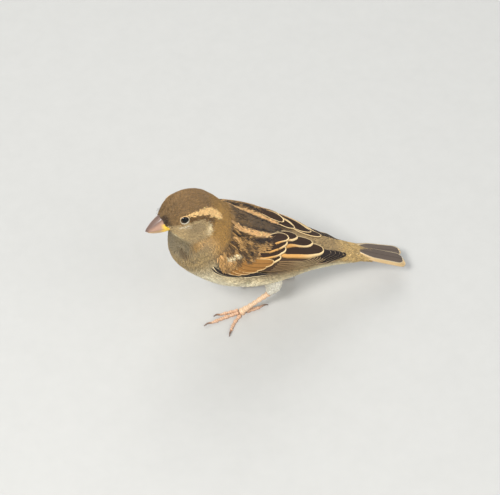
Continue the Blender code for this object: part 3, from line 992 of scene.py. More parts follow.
class VaneMesh:
    """Collects large feathers, each a thin closed blade, and joins them in one piece.

    The columns run across a feather from edge to edge, the rows down it as shares of its length. The other
    numbers are shares of a feather's field on the map for baking: its empty edge, and the size and the
    place of the two round ends of the blade.
    """

    COLUMNS = np.linspace(-1, 1, 9)
    ROWS = np.array([0, 0.1, 0.2, 0.3, 0.4, 0.5, 0.6, 0.68, 0.76, 0.83, 0.89, 0.935, 0.965, 0.985, 0.997])
    FIELD_EDGE = 0.04
    CAP = 0.02
    CAP_MIDDLE = 0.025

    def __init__(self) -> None:
        """Starts with no feathers."""
        self.blades: list[tuple[Array, Array, Array, VaneStyle]] = []

    def half_width(self, style: VaneStyle) -> Array:
        """Finds how wide a feather is at each row.

        Args:
            style: how its web looks.

        Returns:
            The half width at each row, as a share of the greatest.
        """
        base = np.clip(0.45 + 2.2 * self.ROWS, 0, 1)
        past = np.clip((self.ROWS - 1 + style.roundness) / style.roundness, 0, 1)
        return base * np.sqrt(1 - past ** 2.2)

    def add(self, line: Array, normals: Array, outwards: Array, width: float, lift: Array,
            style: VaneStyle, drape: Callable[[Array, Array], Double]) -> None:
        """Adds one feather.

        Args:
            line: the points of its shaft at each row, in metres.
            normals: the direction away from the body at each row.
            outwards: the direction towards its outer edge at each row.
            width: its greatest width, in millimetres.
            lift: its height over the drape at each row, in millimetres.
            style: how its web looks.
            drape: lays points on what the feather rests on, and tells the normals there.
        """
        heading = unit(np.gradient(line, axis=0))
        outwards = unit(outwards - heading * np.sum(outwards * heading, axis=1, keepdims=True))
        half = self.half_width(style) * width / 2
        flat = line[:, None] + outwards[:, None] * (self.COLUMNS[None] * half[:, None] * MM)[..., None]
        laid, up = drape(flat.reshape(-1, 3), np.repeat(normals, len(self.COLUMNS), axis=0))
        laid, up = laid.reshape(flat.shape), up.reshape(flat.shape)
        crown = 1 - self.COLUMNS ** 2
        rise = lift[:, None] + style.camber * crown[None]
        top = laid + up * (rise[..., None] * MM)
        below = laid + up * ((rise - style.thickness * crown[None])[..., None] * MM)
        ring = np.concatenate([top, below[:, -2:0:-1]], axis=1)
        length = np.sum(np.linalg.norm(np.diff(line, axis=0), axis=1)) / MM
        columns = np.concatenate([self.COLUMNS, self.COLUMNS[-2:0:-1]])[None]
        rows = self.ROWS[:, None]
        margins = np.stack(np.broadcast_arrays(
            (1 - columns) * half[:, None], (1 + columns) * half[:, None], (1 - rows) * length), axis=-1)
        webs = np.stack(np.broadcast_arrays(columns / 2 + 0.5, rows), axis=-1)
        self.blades.append((ring, margins, webs, style))

    def build(self, name: str, tones: np.random.Generator) -> Piece:
        """Joins the feathers in one piece, with the layers that the vane material reads.

        Args:
            name: the piece's name.
            tones: the source of chance for small differences between feathers.

        Returns:
            The new object.
        """
        rows, around = self.blades[0][0].shape[:2]
        each = rows * around
        quads = [(row * around + k, row * around + (k + 1) % around,
                  (row + 1) * around + (k + 1) % around, (row + 1) * around + k)
                 for row in range(rows - 1) for k in range(around)]
        ends = [tuple(range(around))[::-1], tuple(range(each - around, each))]
        count = len(self.blades)
        faces = [Mesh.repeat(quads, count, each), Mesh.repeat(ends, count, each)]
        points = np.concatenate([blade[0].reshape(-1, 3) for blade in self.blades])
        piece = Mesh.make(name, points, faces)
        dark, fringe, edges = [], [], []
        for *_, web, style in self.blades:
            tone = 1 + tones.normal(0, 0.05)
            outer, far = web.reshape(-1, 2).T
            near_tip = ease(0.5, 0.88, far)
            dark.append(np.broadcast_to(style.dark.rgb * tone, (each, 3)))
            pale = np.broadcast_to(style.fringe.rgb, (each, 3))
            fringe.append(blend(pale, style.flank, (outer > 0.5) * (1 - near_tip)) * tone)
            width = np.stack([1 - (1 - style.outer_end) * near_tip, np.ones(each), np.ones(each)], axis=1)
            edges.append(np.array(style.edges) * width)
        Mesh.colour(piece, "Dark", np.concatenate(dark))
        Mesh.colour(piece, "Fringe", np.concatenate(fringe))
        Mesh.vector(piece, "Edges", np.concatenate(edges))
        Mesh.vector(piece, "Margins", np.concatenate([blade[1].reshape(-1, 3) for blade in self.blades]))
        Mesh.map(piece, "Web", np.concatenate([blade[2].reshape(-1, 2) for blade in self.blades]))
        self.lay_out(piece, count, rows, around)
        self.turn_out(piece)
        return piece

    def lay_out(self, piece: Piece, count: int, rows: int, around: int) -> None:
        """Gives each feather its own field on the map for baking, unrolled like a sleeve.

        Args:
            piece: the piece.
            count: how many feathers it has.
            rows: how many rows of points each has.
            around: how many points each row has.
        """
        grid = math.ceil(math.sqrt(count))
        corners = np.empty(len(piece.data.loops), np.int32)
        piece.data.loops.foreach_get("vertex_index", corners)
        quads = count * (rows - 1) * around * 4
        feather, spot = corners // (rows * around), corners % (rows * around)
        across, down = (spot % around).astype(float), (spot // around).astype(float)
        wraps = np.zeros(len(corners), bool)
        faces = across[:quads].reshape(-1, 4)
        wraps[:quads] = ((faces == 0) & (faces.max(axis=1, keepdims=True) == around - 1)).ravel()
        across[wraps] = around
        turn = np.radians(across * 360 / around)
        caps = np.arange(len(corners)) >= quads
        far = down == rows - 1
        field = np.stack([across / around, 0.05 + 0.9 * down / (rows - 1)], axis=1)
        end = np.where(far, 1 - self.CAP_MIDDLE, self.CAP_MIDDLE)
        round_cap = np.stack([0.5 + self.CAP * np.cos(turn), end + self.CAP * np.sin(turn)], axis=1)
        field = np.where(caps[:, None], round_cap, field)
        cell = np.stack([feather % grid, feather // grid], axis=1)
        Mesh.map(piece, "OFBake", (cell + self.FIELD_EDGE + (1 - 2 * self.FIELD_EDGE) * field) / grid)

    @staticmethod
    def turn_out(piece: Piece) -> None:
        """Turns the faces of every closed blade outwards.

        Args:
            piece: the piece.
        """
        shape = bmesh.new()
        shape.from_mesh(piece.data)
        bmesh.ops.recalc_face_normals(shape, faces=shape.faces)
        shape.to_mesh(piece.data)
        shape.free()


class Nodes:
    """Builds node trees with few words."""

    def __init__(self, tree: bpy.types.NodeTree) -> None:
        """Takes the tree to build in."""
        self.tree = tree

    def add(self, kind: str, values: dict[str | int, object] | None = None, **settings: object) -> Node:
        """Adds a node.

        Args:
            kind: the node's type.
            values: what its input sockets are set or linked to, by name or number.
            settings: its own properties.

        Returns:
            The node.
        """
        node = self.tree.nodes.new(kind)
        for name, value in settings.items():
            setattr(node, name, value)
        for name, value in (values or {}).items():
            if isinstance(value, Socket):
                self.tree.links.new(value, node.inputs[name])
            else:
                node.inputs[name].default_value = value
        return node

    def maths(self, operation: str, *values: object) -> Socket:
        """Adds a Math node with an operation's capital name, and gives its result."""
        return self.add("ShaderNodeMath", dict(enumerate(values)), operation=operation).outputs[0]

    def mix(self, factor: object, first: object, second: object, how: str = "MIX") -> Socket:
        """Adds a colour mix and gives its result."""
        node = self.add("ShaderNodeMix", {0: factor, 6: first, 7: second}, data_type="RGBA", blend_type=how)
        return node.outputs[2]

    def step(self, low: object, high: object, value: object) -> Socket:
        """Climbs smoothly from 0 at low to 1 at high."""
        node = self.add("ShaderNodeMapRange", {0: value, 1: low, 2: high}, interpolation_type="SMOOTHSTEP")
        return node.outputs[0]

    def grey(self, value: Socket) -> Socket:
        """Makes a colour with the same value in all its parts."""
        return self.add("ShaderNodeCombineColor", {0: value, 1: value, 2: value}).outputs[0]

    def layer(self, name: str, part: str) -> Socket:
        """Reads one of a piece's named layers, as a Color or a Vector."""
        return self.add("ShaderNodeAttribute", attribute_name=name).outputs[part]


class Groups:
    """The effects that more than one material uses, each a node group that is built once."""

    @staticmethod
    def fresh(name: str, inputs: dict[str, tuple[str, object]]) -> tuple[Nodes, Node, Node]:
        """Starts a group with its sockets.

        Args:
            name: the group's name.
            inputs: socket names with their types and values.
        Returns:
            The group's builder, and its input and output nodes. The group gives a colour and a height.
        """
        tree = bpy.data.node_groups.new(name, "ShaderNodeTree")
        for label, (kind, value) in inputs.items():
            tree.interface.new_socket(label, in_out="INPUT", socket_type=kind).default_value = value
        for label, kind in (("Colour", "NodeSocketColor"), ("Height", "NodeSocketFloat")):
            tree.interface.new_socket(label, in_out="OUTPUT", socket_type=kind)
        build = Nodes(tree)
        return build, build.add("NodeGroupInput"), build.add("NodeGroupOutput")

    @classmethod
    def down(cls) -> bpy.types.NodeTree:
        """Builds the fine mottle of soft plumage: colour and height that vary from barb to barb.

        Returns:
            The group.
        """
        if "Down mottle" in bpy.data.node_groups:
            return bpy.data.node_groups["Down mottle"]
        build, given, result = cls.fresh("Down mottle", {
            "Colour": ("NodeSocketColor", (1, 1, 1, 1)), "Amount": ("NodeSocketFloat", 0.3),
            "Grain": ("NodeSocketFloat", 1600.0)})
        place = build.add("ShaderNodeTexCoord").outputs["Object"]
        grain = given.outputs["Grain"]
        fine = build.add("ShaderNodeTexNoise", {"Vector": place, "Scale": grain, "Detail": 3.0})
        broad = build.add("ShaderNodeTexNoise", {"Vector": place, "Scale": 160.0, "Detail": 2.0})
        both = build.maths("ADD", fine.outputs[0], broad.outputs[0])
        swing = build.maths("MULTIPLY", build.maths("SUBTRACT", both, 1.0), given.outputs["Amount"])
        shade = build.grey(build.maths("ADD", 1.0, swing))
        mottled = build.mix(1.0, given.outputs["Colour"], shade, "MULTIPLY")
        build.tree.links.new(mottled, result.inputs["Colour"])
        build.tree.links.new(fine.outputs[0], result.inputs["Height"])
        return build.tree

    @classmethod
    def web(cls) -> bpy.types.NodeTree:
        """Builds the web of a large feather: its dark middle, pale fringe, shaft and slanting barbs.

        Returns:
            The group.
        """
        if "Feather web" in bpy.data.node_groups:
            return bpy.data.node_groups["Feather web"]
        build, given, result = cls.fresh("Feather web", {
            "Fringe softness": ("NodeSocketFloat", 0.3), "Barb contrast": ("NodeSocketFloat", 0.25)})
        margins = build.add("ShaderNodeSeparateXYZ", {0: build.layer("Margins", "Vector")})
        edges = build.add("ShaderNodeSeparateXYZ", {0: build.layer("Edges", "Vector")})
        place = build.add("ShaderNodeTexCoord").outputs["Object"]
        fray = build.add("ShaderNodeTexNoise", {"Vector": place, "Scale": 900.0, "Detail": 2.0}).outputs[0]
        loose = build.maths("MULTIPLY", build.maths("SUBTRACT", fray, 0.5), 0.16)
        inside = 1.0
        for side in range(3):
            start = build.maths("ADD", edges.outputs[side], loose)
            stop = build.maths("ADD", start, given.outputs["Fringe softness"])
            inside = build.maths("MULTIPLY", inside, build.step(start, stop, margins.outputs[side]))
        across = build.maths("MULTIPLY", build.maths("SUBTRACT", margins.outputs[0], margins.outputs[1]), 0.5)
        off = build.maths("ABSOLUTE", across)
        slant = build.maths("SUBTRACT", build.maths("MULTIPLY", margins.outputs[2], 0.75), off)
        wave = build.maths("SINE", build.maths("MULTIPLY", slant, 16.0))
        barbs = build.maths("ADD", 0.5, build.maths("MULTIPLY", 0.5, wave))
        barb = build.add("ShaderNodeCombineXYZ", {0: slant, 1: build.maths("MULTIPLY", off, 0.35)}).outputs[0]
        clumps = build.add("ShaderNodeTexNoise", {"Vector": barb, "Scale": 1.7, "Detail": 3.0}).outputs[0]
        grain = build.maths("ADD", clumps, build.maths("MULTIPLY", barbs, 0.3))
        swing = build.maths("MULTIPLY", given.outputs["Barb contrast"], build.maths("SUBTRACT", grain, 0.65))
        shade = build.grey(build.maths("ADD", 1.0, swing))
        base = build.mix(inside, build.layer("Fringe", "Color"), build.layer("Dark", "Color"))
        toned = build.mix(1.0, base, shade, "MULTIPLY")
        shaft = build.maths("SUBTRACT", 1.0, build.step(0.1, 0.22, off))
        marked = build.mix(build.maths("MULTIPLY", shaft, 0.55), toned, (0.02, 0.012, 0.008, 1))
        height = build.maths("ADD", build.maths("MULTIPLY", barbs, 0.5), build.maths("MULTIPLY", shaft, 1.5))
        build.tree.links.new(marked, result.inputs["Colour"])
        build.tree.links.new(height, result.inputs["Height"])
        return build.tree


@dataclass(frozen=True)
class Finish:
    """A finish that reads its colours from the piece, with the grain of what it is made of."""

    name: str
    roughness: float
    grain: float = 1600.0
    amount: float = 0.3
    bump: float = 0.2
    depth: float = 0.0001
    sheen: float = 0.0
    coat: float = 0.0
    coat_roughness: float = 0.08
    specular: float = 0.5

    def material(self) -> bpy.types.Material:
        """Builds the material, or takes the one that was built before.

        Returns:
            The material.
        """
        if self.name in bpy.data.materials:
            return bpy.data.materials[self.name]
        made = bpy.data.materials.new(self.name)
        made.use_nodes = True
        build = Nodes(made.node_tree)
        shader = made.node_tree.nodes["Principled BSDF"]
        shader.inputs["Roughness"].default_value = self.roughness
        shader.inputs["Sheen Weight"].default_value = self.sheen
        shader.inputs["Coat Weight"].default_value = self.coat
        shader.inputs["Coat Roughness"].default_value = self.coat_roughness
        shader.inputs["Specular IOR Level"].default_value = self.specular
        colour, height = self.pattern(build).outputs
        bump = build.add("ShaderNodeBump", {"Height": height, "Strength": self.bump, "Distance": self.depth})
        made.node_tree.links.new(colour, shader.inputs["Base Color"])
        made.node_tree.links.new(bump.outputs[0], shader.inputs["Normal"])
        return made

    def pattern(self, build: Nodes) -> Node:
        """Lays the mottle over the piece's own colours, and gives a node with the colour and the height."""
        values = {"Colour": build.layer("Markings", "Color"), "Amount": self.amount, "Grain": self.grain}
        return build.add("ShaderNodeGroup", values, node_tree=Groups.down())


@dataclass(frozen=True)
class WebFinish(Finish):
    """The finish of the large feathers."""

    softness: float = 0.14

    def pattern(self, build: Nodes) -> Node:
        """Gives a node with the colour and the height of a feather's web."""
        values = {"Fringe softness": self.softness, "Barb contrast": self.amount}
        return build.add("ShaderNodeGroup", values, node_tree=Groups.web())


PLUMAGE = Finish("Soft plumage", roughness=0.85, grain=2600.0, amount=0.16, sheen=0.1, specular=0.2)
WEB = WebFinish("Large feathers", roughness=0.7, amount=0.35, bump=0.25, depth=0.00008, specular=0.2)
HORN = Finish("Bill horn", roughness=0.38, grain=900.0, amount=0.25, bump=0.1, coat=0.15)
CLAW = Finish("Claw horn", roughness=0.3, grain=1200.0, amount=0.25, bump=0.1, coat=0.2)
SCALY = Finish("Scaly leg skin", roughness=0.48, grain=2400.0, amount=0.25, bump=0.35, coat=0.05)
CORNEA = Finish("Wet eye", roughness=0.05, grain=300.0, amount=0.05, bump=0.0, specular=0.28, coat=0.1)
LIDS = Finish("Bare lids", roughness=0.5, grain=3000.0, amount=0.4, bump=0.4)
GROUND = Finish("Pale floor", roughness=0.8, grain=60.0, amount=0.05, bump=0.05)


@dataclass
class Head:
    """Where things lie on the turned head, seen from between the eyes, in millimetres."""

    middle: Array = field(init=False)
    left: Array = field(init=False)
    ahead: Array = field(init=False)

    def __post_init__(self) -> None:
        """Finds the head's own directions from its eyes."""
        eyes = [middle(f"{side.label}_eye") for side in Side]
        self.middle = (eyes[0] + eyes[1]) / 2
        self.left = unit(eyes[0] - eyes[1])
        self.ahead = np.cross(self.left, [0, 0, 1.0])

    def place(self, points: Array) -> Triple:
        """Tells how far points lie ahead of the eyes, above them, and out from the middle."""
        away = (points - self.middle) / MM
        return away @ self.ahead, away[..., 2], away @ self.left


@dataclass
class Skin:
    """One skin for the whole body and both shins, a little inside their solids.

    It is sunk by the depth, in millimetres, and within the hug's distances of the bill it lies under the
    horn. Farther than the reach from the body's shell it belongs to the shins.
    """

    shell: Shell
    markings: Markings
    bill: BVHTree
    grain: float = 0.7
    rounds: int = 8
    depth: float = 0.8
    reach: float = 3.5
    hug: Pair = (0.6, 1.3)
    under_horn: float = 0.3
    eyelid: Pair = (2.0, 2.4)
    shade: float = 0.6
    shin_shade: float = 0.95

    def make_way(self, points: Array) -> Array:
        """Draws the skin in under the bill's root, so that the horn lies over it.

        Args:
            points: the skin's points, in metres.

        Returns:
            The points, moved near the bill.
        """
        moved = points.copy()
        for index, point in enumerate(points):
            spot, normal, _, gap = self.bill.find_nearest(Vector(point), self.hug[1] * MM)
            if spot is not None and (Vector(point) - spot).dot(normal) > 0:
                away = np.array(spot - normal * self.under_horn * MM - Vector(point))
                moved[index] += away * (1 - ease(*self.hug, gap / MM))
        return moved

    def build(self) -> Piece:
        """Joins the flesh nodes, evens them out, sinks them by the coat's depth and colours them.

        Returns:
            The skin.
        """
        nodes = (*FLESH, "left_shin", "right_shin")
        piece = refined("skin", nodes, self.grain, self.rounds)
        shrink(piece, self.depth)
        points = self.make_way(Mesh.points(piece))
        place = self.shell.locate(points)
        points = self.shell.sunk(points, place, self.depth, self.reach)
        Mesh.move(piece, points)
        along, around, away = place
        colours = self.markings.at(along, around) * self.shade
        colours[away > self.reach * MM] = Hue.TROUSERS.rgb * self.shin_shade
        colours = blend(colours, Hue.LID, 1 - ease(*self.eyelid, from_eyes(points)))
        Mesh.colour(piece, "Markings", colours)
        dress(piece, PLUMAGE.material(), nodes)
        return piece


@dataclass
class Coat:
    """The small feathers of the head and the body, in the tracts that a bird has.

    No root lies nearer to an eye's middle or to the bill than the clearances, in millimetres. A feather may
    be the shortest length at the eye's clearance, and longer by the growth for each millimetre beyond it. A
    root is hidden where the wing lies higher than the cover, both there and a wing's edge nearer the back.
    """

    shell: Shell
    outside: Shell
    markings: Markings
    bill: BVHTree
    eye_clearance: float = 2.85
    mouth_clearance: float = 0.45
    shortest: float = 0.45
    growth: float = 0.95
    cover: Pair = (0.4, 0.6)
    wing_edge: float = 7.0

    def short_at_eyes(self, points: Array) -> Array:
        """Gives the longest feather, in millimetres, that a root may bear without reaching an eye."""
        return self.shortest + self.growth * (from_eyes(points) - self.eye_clearance)

    def clear_of_face(self, points: Array) -> Array:
        """Tells which roots are clear of the eyes and of the bill."""
        gaps = np.array([self.bill.find_nearest(Vector(point))[3] for point in points])
        return (from_eyes(points) > self.eye_clearance) & (gaps > self.mouth_clearance * MM)

    def open_to_air(self, points: Array) -> Array:
        """Tells which roots aren't hidden well under a folded wing.

        Args:
            points: the roots, in metres.

        Returns:
            True for each root that can be seen.
        """
        along, around, _ = self.shell.locate(points)
        under, _ = self.shell.at(along, around)
        over, _ = self.outside.at(along, around)
        deeper, _ = self.outside.at(along, around + np.where(around % 360 < 180, -1, 1) * self.wing_edge)
        here, beyond = (np.linalg.norm(surface - under, axis=-1) / MM for surface in (over, deeper))
        return (here < self.cover[0]) | (beyond < self.cover[1])

    def tracts(self) -> list[Tract]:
        """Lists the tracts from the bill to the tail.

        Returns:
            The tracts.
        """
        flesh, marks = self.shell, self.markings.at
        small = dict(limit=self.short_at_eyes, keep=self.clear_of_face, locks=3, bedding=0.5, ruffle=0.08,
                     contrast=0.04, uneven=0.1, stray=0.45)
        return [
            Tract("cap_feathers", "head_feathers", flesh, (0.03, 1.8), (0, 60), marks, spacing=0.62,
                  lengths=(1.5, 3.6), width=0.95, seed=11, **small),
            Tract("face_feathers", "head_feathers", flesh, (0.05, 1.75), (60, 122), marks, spacing=0.6,
                  lengths=(1.4, 3.4), width=0.9, seed=12, **small),
            Tract("throat_feathers", "neck_feathers", flesh, (0.03, 1.8), (118, 180), marks, spacing=0.7,
                  lengths=(2.0, 4.5), width=1.1, seed=13, **small),
            Tract("nape_feathers", "neck_feathers", flesh, (1.5, 2.4), (0, 96), marks, spacing=0.8,
                  lengths=(3.0, 5.0), width=1.5, bedding=0.7, seed=14, locks=4),
            Tract("breast_feathers", "breast_feathers", flesh, (1.7, 3.1), (88, 180), marks, spacing=1.05,
                  lengths=(4.5, 6.5), width=2.2, keep=self.open_to_air, seed=15),
            Tract("belly_feathers", "belly_feathers", flesh, (3.05, 4.8), (80, 180), marks, spacing=1.15,
                  lengths=(6.5, 8.0), width=2.4, keep=self.open_to_air, ruffle=0.2, seed=16),
            Tract("vent_feathers", "rump_feathers", flesh, (4.75, 6.0), (80, 180), marks, spacing=1.0,
                  lengths=(7.0, 8.0), width=2.4, seed=17),
            Tract("rump_feathers", "rump_feathers", flesh, (3.7, 6.1), (0, 82), marks, spacing=1.1,
                  lengths=(6.0, 9.0), width=2.6, keep=self.open_to_air, seed=18),
        ]

    def build(self) -> list[Piece]:
        """Grows every tract."""
        return [tract.build(PLUMAGE.material()) for tract in (*self.tracts(), *self.shins())]

    def shins(self) -> list[Tract]:
        """Lists the white tufts of the shins, which hang a little over the bare shanks.

        Returns:
            One tract for each shin.
        """
        made = []
        for side in Side:
            node = f"{side.label}_shin"
            shell = Shell(Limb(node), (node,), first=-0.3, last=1.25, rows=70, columns=40,
                          reaches=((0, 8), (1, 7)), softening=2)
            made.append(Tract(f"{node}_feathers", "shin_feathers", shell, (-0.26, 0.98), (0, 180),
                              shin_colours, spacing=0.75, lengths=(3.6, 2.6), width=1.7, bedding=0.5,
                              lift=0.35, ruffle=0.4, uneven=0.05, seed=19))
        return made


def shin_colours(along: Array, around: Array) -> Array:
    """Colours the shins' tufts a plain white."""
    return painted(Hue.TROUSERS, np.broadcast_arrays(along, around)[0])


def strokes(along: Array, side: Array, places: Curve) -> Array:
    """Lays dark slanting strokes on the plumage.

    Args:
        along: places along the spine.
        side: angles from the back line, in degrees.
        places: each stroke's middle, along the spine and away from the back line.

    Returns:
        The strokes' weight at each place.
    """
    weight = np.zeros(side.shape)
    for start, line in places:
        stroke = within(side, line + 24 * (along - start), 2.2, 3) * within(along, start, 0.12, 0.12)
        weight = np.maximum(weight, stroke)
    return weight


def shoulder_colours(along: Array, around: Array) -> Array:
    """Colours the small coverts of the wing: warm brown, streaked dark, with one row of cream tips.

    Args:
        along: places along the spine.
        around: angles round it, in degrees.

    Returns:
        A linear colour for each place.
    """
    along, side = np.broadcast_arrays(along, away_from_back(around))
    slant = side - 26 * (along - 2.3)
    streaks = ease(0.46, 0.62, flecks(along, slant, 0.16, 4.5, 7))
    upper = (1 - 0.65 * ease(62, 80, side)) * (1 - 0.7 * ease(2.85, 3.15, along))
    return painted(
        Hue.SHOULDER, side,
        (Hue.SHOULDER_DARK, 0.9 * streaks * upper),
        (Hue.SHOULDER_DARK, 0.5 * (1 - ease(2.3, 2.5, along))),
        (Hue.BRACE, 0.5 * ease(0.6, 0.8, flecks(along, slant, 0.2, 4.0, 8)) * (1 - streaks)),
        (Hue.STREAK, 0.85 * strokes(along, side, SHOULDER_STROKES)),
        (Hue.CREAM, within(along, 2.6 - (side - 70) * 0.009, 0.035, 0.035) * within(side, 70, 9, 4)))


def mantle_colours(along: Array, around: Array) -> Array:
    """Colours the back: a streaked brown middle and, on each side, a ragged buff brace edged with black.

    Args:
        along: places along the spine.
        around: angles round it, in degrees.

    Returns:
        A linear colour for each place.
    """
    along, side = np.broadcast_arrays(along, away_from_back(around))
    brace = np.interp(along, *zip(*BRACE_LINE))
    behind = ease(2.15, 2.4, along)
    below = within(side, brace + 10, 5, 5) * ease(0.32, 0.5, flecks(along, side, 0.2, 3.2, 9))
    above = within(side, brace - 7.5, 2.2, 3)
    inside = 0.35 * within(side, brace, 4, 2) * ease(0.7, 0.82, flecks(along, side, 0.12, 3.0, 10))
    plain = 0.75 * (1 - ease(9, 13, side)) * ease(0.45, 0.7, flecks(along, side, 0.26, 2.6, 12))
    dark = np.clip(0.95 * below + 0.65 * above + inside + plain, 0, 1)
    dark = np.maximum(dark, strokes(along, side, MANTLE_STROKES))
    return painted(
        Hue.MANTLE, side,
        (Hue.SHOULDER, 0.25 * (1 - ease(2.4, 3.0, along))),
        (Hue.SHOULDER, ease(3, 6, side - brace)),
        (Hue.BRACE, within(side, brace, 5, 2.5) * behind),
        (Hue.STREAK, dark * behind),
        (Hue.NAPE, 1 - ease(2.05, 2.3, along + 0.1 * flecks(along, side, 0.2, 3.0, 5))))


BRACE_LINE = ((2.2, 28), (2.5, 25), (2.9, 21), (3.3, 19), (3.7, 19))
MANTLE_STROKES = ((2.6, 35), (2.9, 33), (3.17, 28), (2.42, 40))
SHOULDER_STROKES = ((2.4, 73), (2.42, 62), (2.62, 58), (2.8, 50), (2.68, 44))

PRIMARY = VaneStyle(Hue.PRIMARY_DARK, Hue.PRIMARY_EDGE, Hue.PANEL_EDGE, (0.7, 0.0, 0.4), outer_end=0.0,
                    roundness=0.35, camber=0.06, rise=3.0)
SECONDARY = VaneStyle(Hue.PANEL_DARK, Hue.TERTIAL_EDGE, Hue.PANEL_EDGE, (0.5, 0.0, 0.3), outer_end=0.4,
                      camber=0.05)
TERTIAL = VaneStyle(Hue.QUILL_DARK, Hue.TERTIAL_EDGE, Hue.OCHRE_EDGE, (1.9, 0.5, 0.6), outer_end=0.65,
                    camber=0.16)
GREATER = VaneStyle(Hue.QUILL_DARK, Hue.TERTIAL_EDGE, Hue.OCHRE_EDGE, (1.0, 0.35, 0.7), outer_end=0.85,
                    roundness=0.35, camber=0.03)
GREATER_PLAIN = VaneStyle(Hue.COVERT_OCHRE, Hue.COVERT_EDGE, Hue.COVERT_EDGE, (0.8, 0.3, 0.7),
                          roundness=0.35, camber=0.08)
ALULA = VaneStyle(Hue.PRIMARY_DARK, Hue.CREAM, Hue.CREAM, (0.55, 0.0, 0.1), roundness=0.4, camber=0.08)
CENTRAL_TAIL = VaneStyle(Hue.TAIL_DARK, Hue.TAIL_EDGE, Hue.TAIL_EDGE, (0.35, 0.35, 0.4),
                         roundness=0.15, camber=0.12)
OUTER_TAIL = VaneStyle(Hue.TAIL_DARK, Hue.TAIL_OUTER, Hue.TAIL_OUTER, (2.4, 0.3, 0.5),
                       roundness=0.15, camber=0.12)


@dataclass
class Wing:
    """One folded wing: a bed, and on it rows of large feathers, each over the roots of the row behind.

    The bed is thinned all round and sunk under the outside, both in millimetres. Feathers are draped on
    what lies within the probe's distance of them.
    """

    side: Side
    shell: Shell
    tree: BVHTree
    thinned: float = 1.2
    sunk: float = 1.5
    shade: float = 0.7
    probe: float = 6.0

    def drape(self, points: Array, normals: Array) -> Double:
        """Lays points on the folded wing along the given directions.

        Args:
            points: the points, in metres.
            normals: the directions away from the body.

        Returns:
            The laid points, and the wing's own directions there.
        """
        laid, up = points.copy(), normals.copy()
        for index, (point, normal) in enumerate(zip(points, normals)):
            ray = Vector(normal)
            start = Vector(point) + ray * self.probe * MM
            spot, face_up, *_ = self.tree.ray_cast(start, -ray, 2 * self.probe * MM)
            if spot is not None:
                laid[index] = spot
                up[index] = face_up if face_up.dot(ray) > 0 else -face_up
        return laid, unit(up + normals)

    def lay(self, vanes: VaneMesh, vane: Vane) -> None:
        """Lays one feather on the wing.

        Args:
            vanes: the piece in the making that gets it.
            vane: the feather.
        """
        rows = VaneMesh.ROWS
        along = vane.root[0] + (vane.tip[0] - vane.root[0]) * rows
        around = vane.root[1] + (vane.tip[1] - vane.root[1]) * rows + vane.bow * np.sin(np.pi * rows)
        line, normals = self.shell.at(along, around * self.side.value)
        beyond, _ = self.shell.at(along, (around + 2) * self.side.value)
        lift = vane.lift[0] + (vane.lift[1] - vane.lift[0]) * rows ** vane.style.rise
        vanes.add(line, normals, unit(beyond - line), vane.width, lift, vane.style, self.drape)

    @staticmethod
    def row(count: int, roots: Run, tips: Run, widths: Pair, lifts: Pair, style: VaneStyle, drop: float,
            bow: float = 0.0) -> list[Vane]:
        """Lists a row of feathers that run evenly between two, from the uppermost to the lowest.

        Args:
            count: how many feathers.
            roots: the roots of the first and the last.
            tips: their tips.
            widths: their widths, in millimetres.
            lifts: the height of the first at its root and its tip, in millimetres.
            style: how they look.
            drop: how much lower each lies than the one before it, in millimetres.
            bow: how far their middles bend outwards, in degrees.

        Returns:
            The feathers, the lowest first.
        """
        made = []
        for number in range(count):
            share = number / max(count - 1, 1)
            root = tuple(a + (b - a) * share for a, b in zip(*roots))
            tip = tuple(a + (b - a) * share for a, b in zip(*tips))
            lift = (lifts[0] - drop * number * 0.5, lifts[1] - drop * number)
            made.append(Vane(root, tip, widths[0] + (widths[1] - widths[0]) * share, lift, style, bow))
        return made[::-1]

    def flight(self) -> list[Vane]:
        """Lists the primaries and the secondaries.

        Returns:
            The feathers, the lowest first.
        """
        return [
            *self.row(5, roots=((3.3, 66), (3.0, 80)), tips=((4.84, 50), (5.32, 57)), widths=(6.0, 5.4),
                      lifts=(-0.6, 0.6), style=PRIMARY, drop=0.1, bow=4),
            *self.row(6, roots=((3.3, 50), (3.1, 71)), tips=((4.42, 54), (4.72, 65)), widths=(5.6, 5.0),
                      lifts=(-0.2, 0.35), style=SECONDARY, drop=0.1),
        ]

    def inner(self) -> list[Vane]:
        """Lists the three tertials, which fan out on the left wing and lie close together on the right.

        Returns:
            The feathers, the lowest first.
        """
        if self.side is Side.LEFT:
            places = (((3.4, 40), (4.68, 43)), ((3.3, 34), (4.47, 20)), ((3.2, 26), (4.17, 8)))
        else:
            places = (((3.45, 46), (4.72, 32)), ((3.35, 40), (4.54, 36)), ((3.25, 32), (4.2, 26)))
        lifts = ((-0.05, 0.65), (0.0, 0.85), (0.05, 1.0))
        return [Vane(root, tip, width, lift, TERTIAL)
                for (root, tip), width, lift in zip(places, (9.0, 8.0, 7.0), lifts)]

    def coverts(self) -> list[Vane]:
        """Lists the alula, the primary coverts and the greater coverts.

        Returns:
            The feathers, each row with its lowest first.
        """
        tips = ((3.92, 16), (3.66, 51)) if self.side is Side.LEFT else ((3.95, 30), (3.72, 54))
        return [
            *self.row(3, roots=((2.9, 79), (2.8, 89)), tips=((3.72, 84), (3.48, 91)), widths=(4.4, 3.4),
                      lifts=(-0.2, 0.3), style=ALULA, drop=0.1),
            *self.row(2, roots=((2.5, 104), (2.5, 110)), tips=((3.2, 88), (3.15, 94)), widths=(3.0, 2.6),
                      lifts=(-0.2, 0.4), style=ALULA, drop=0.1),
            *self.row(5, roots=((2.62, 62), (2.4, 88)), tips=((3.55, 58), (3.12, 84)), widths=(5.4, 4.4),
                      lifts=(0.1, 0.6), style=GREATER_PLAIN, drop=0.1),
            *self.row(4, roots=((3.05, 34), (2.8, 56)), tips=tips, widths=(6.6, 5.8), lifts=(0.3, 1.3),
                      style=GREATER, drop=0.24),
        ]

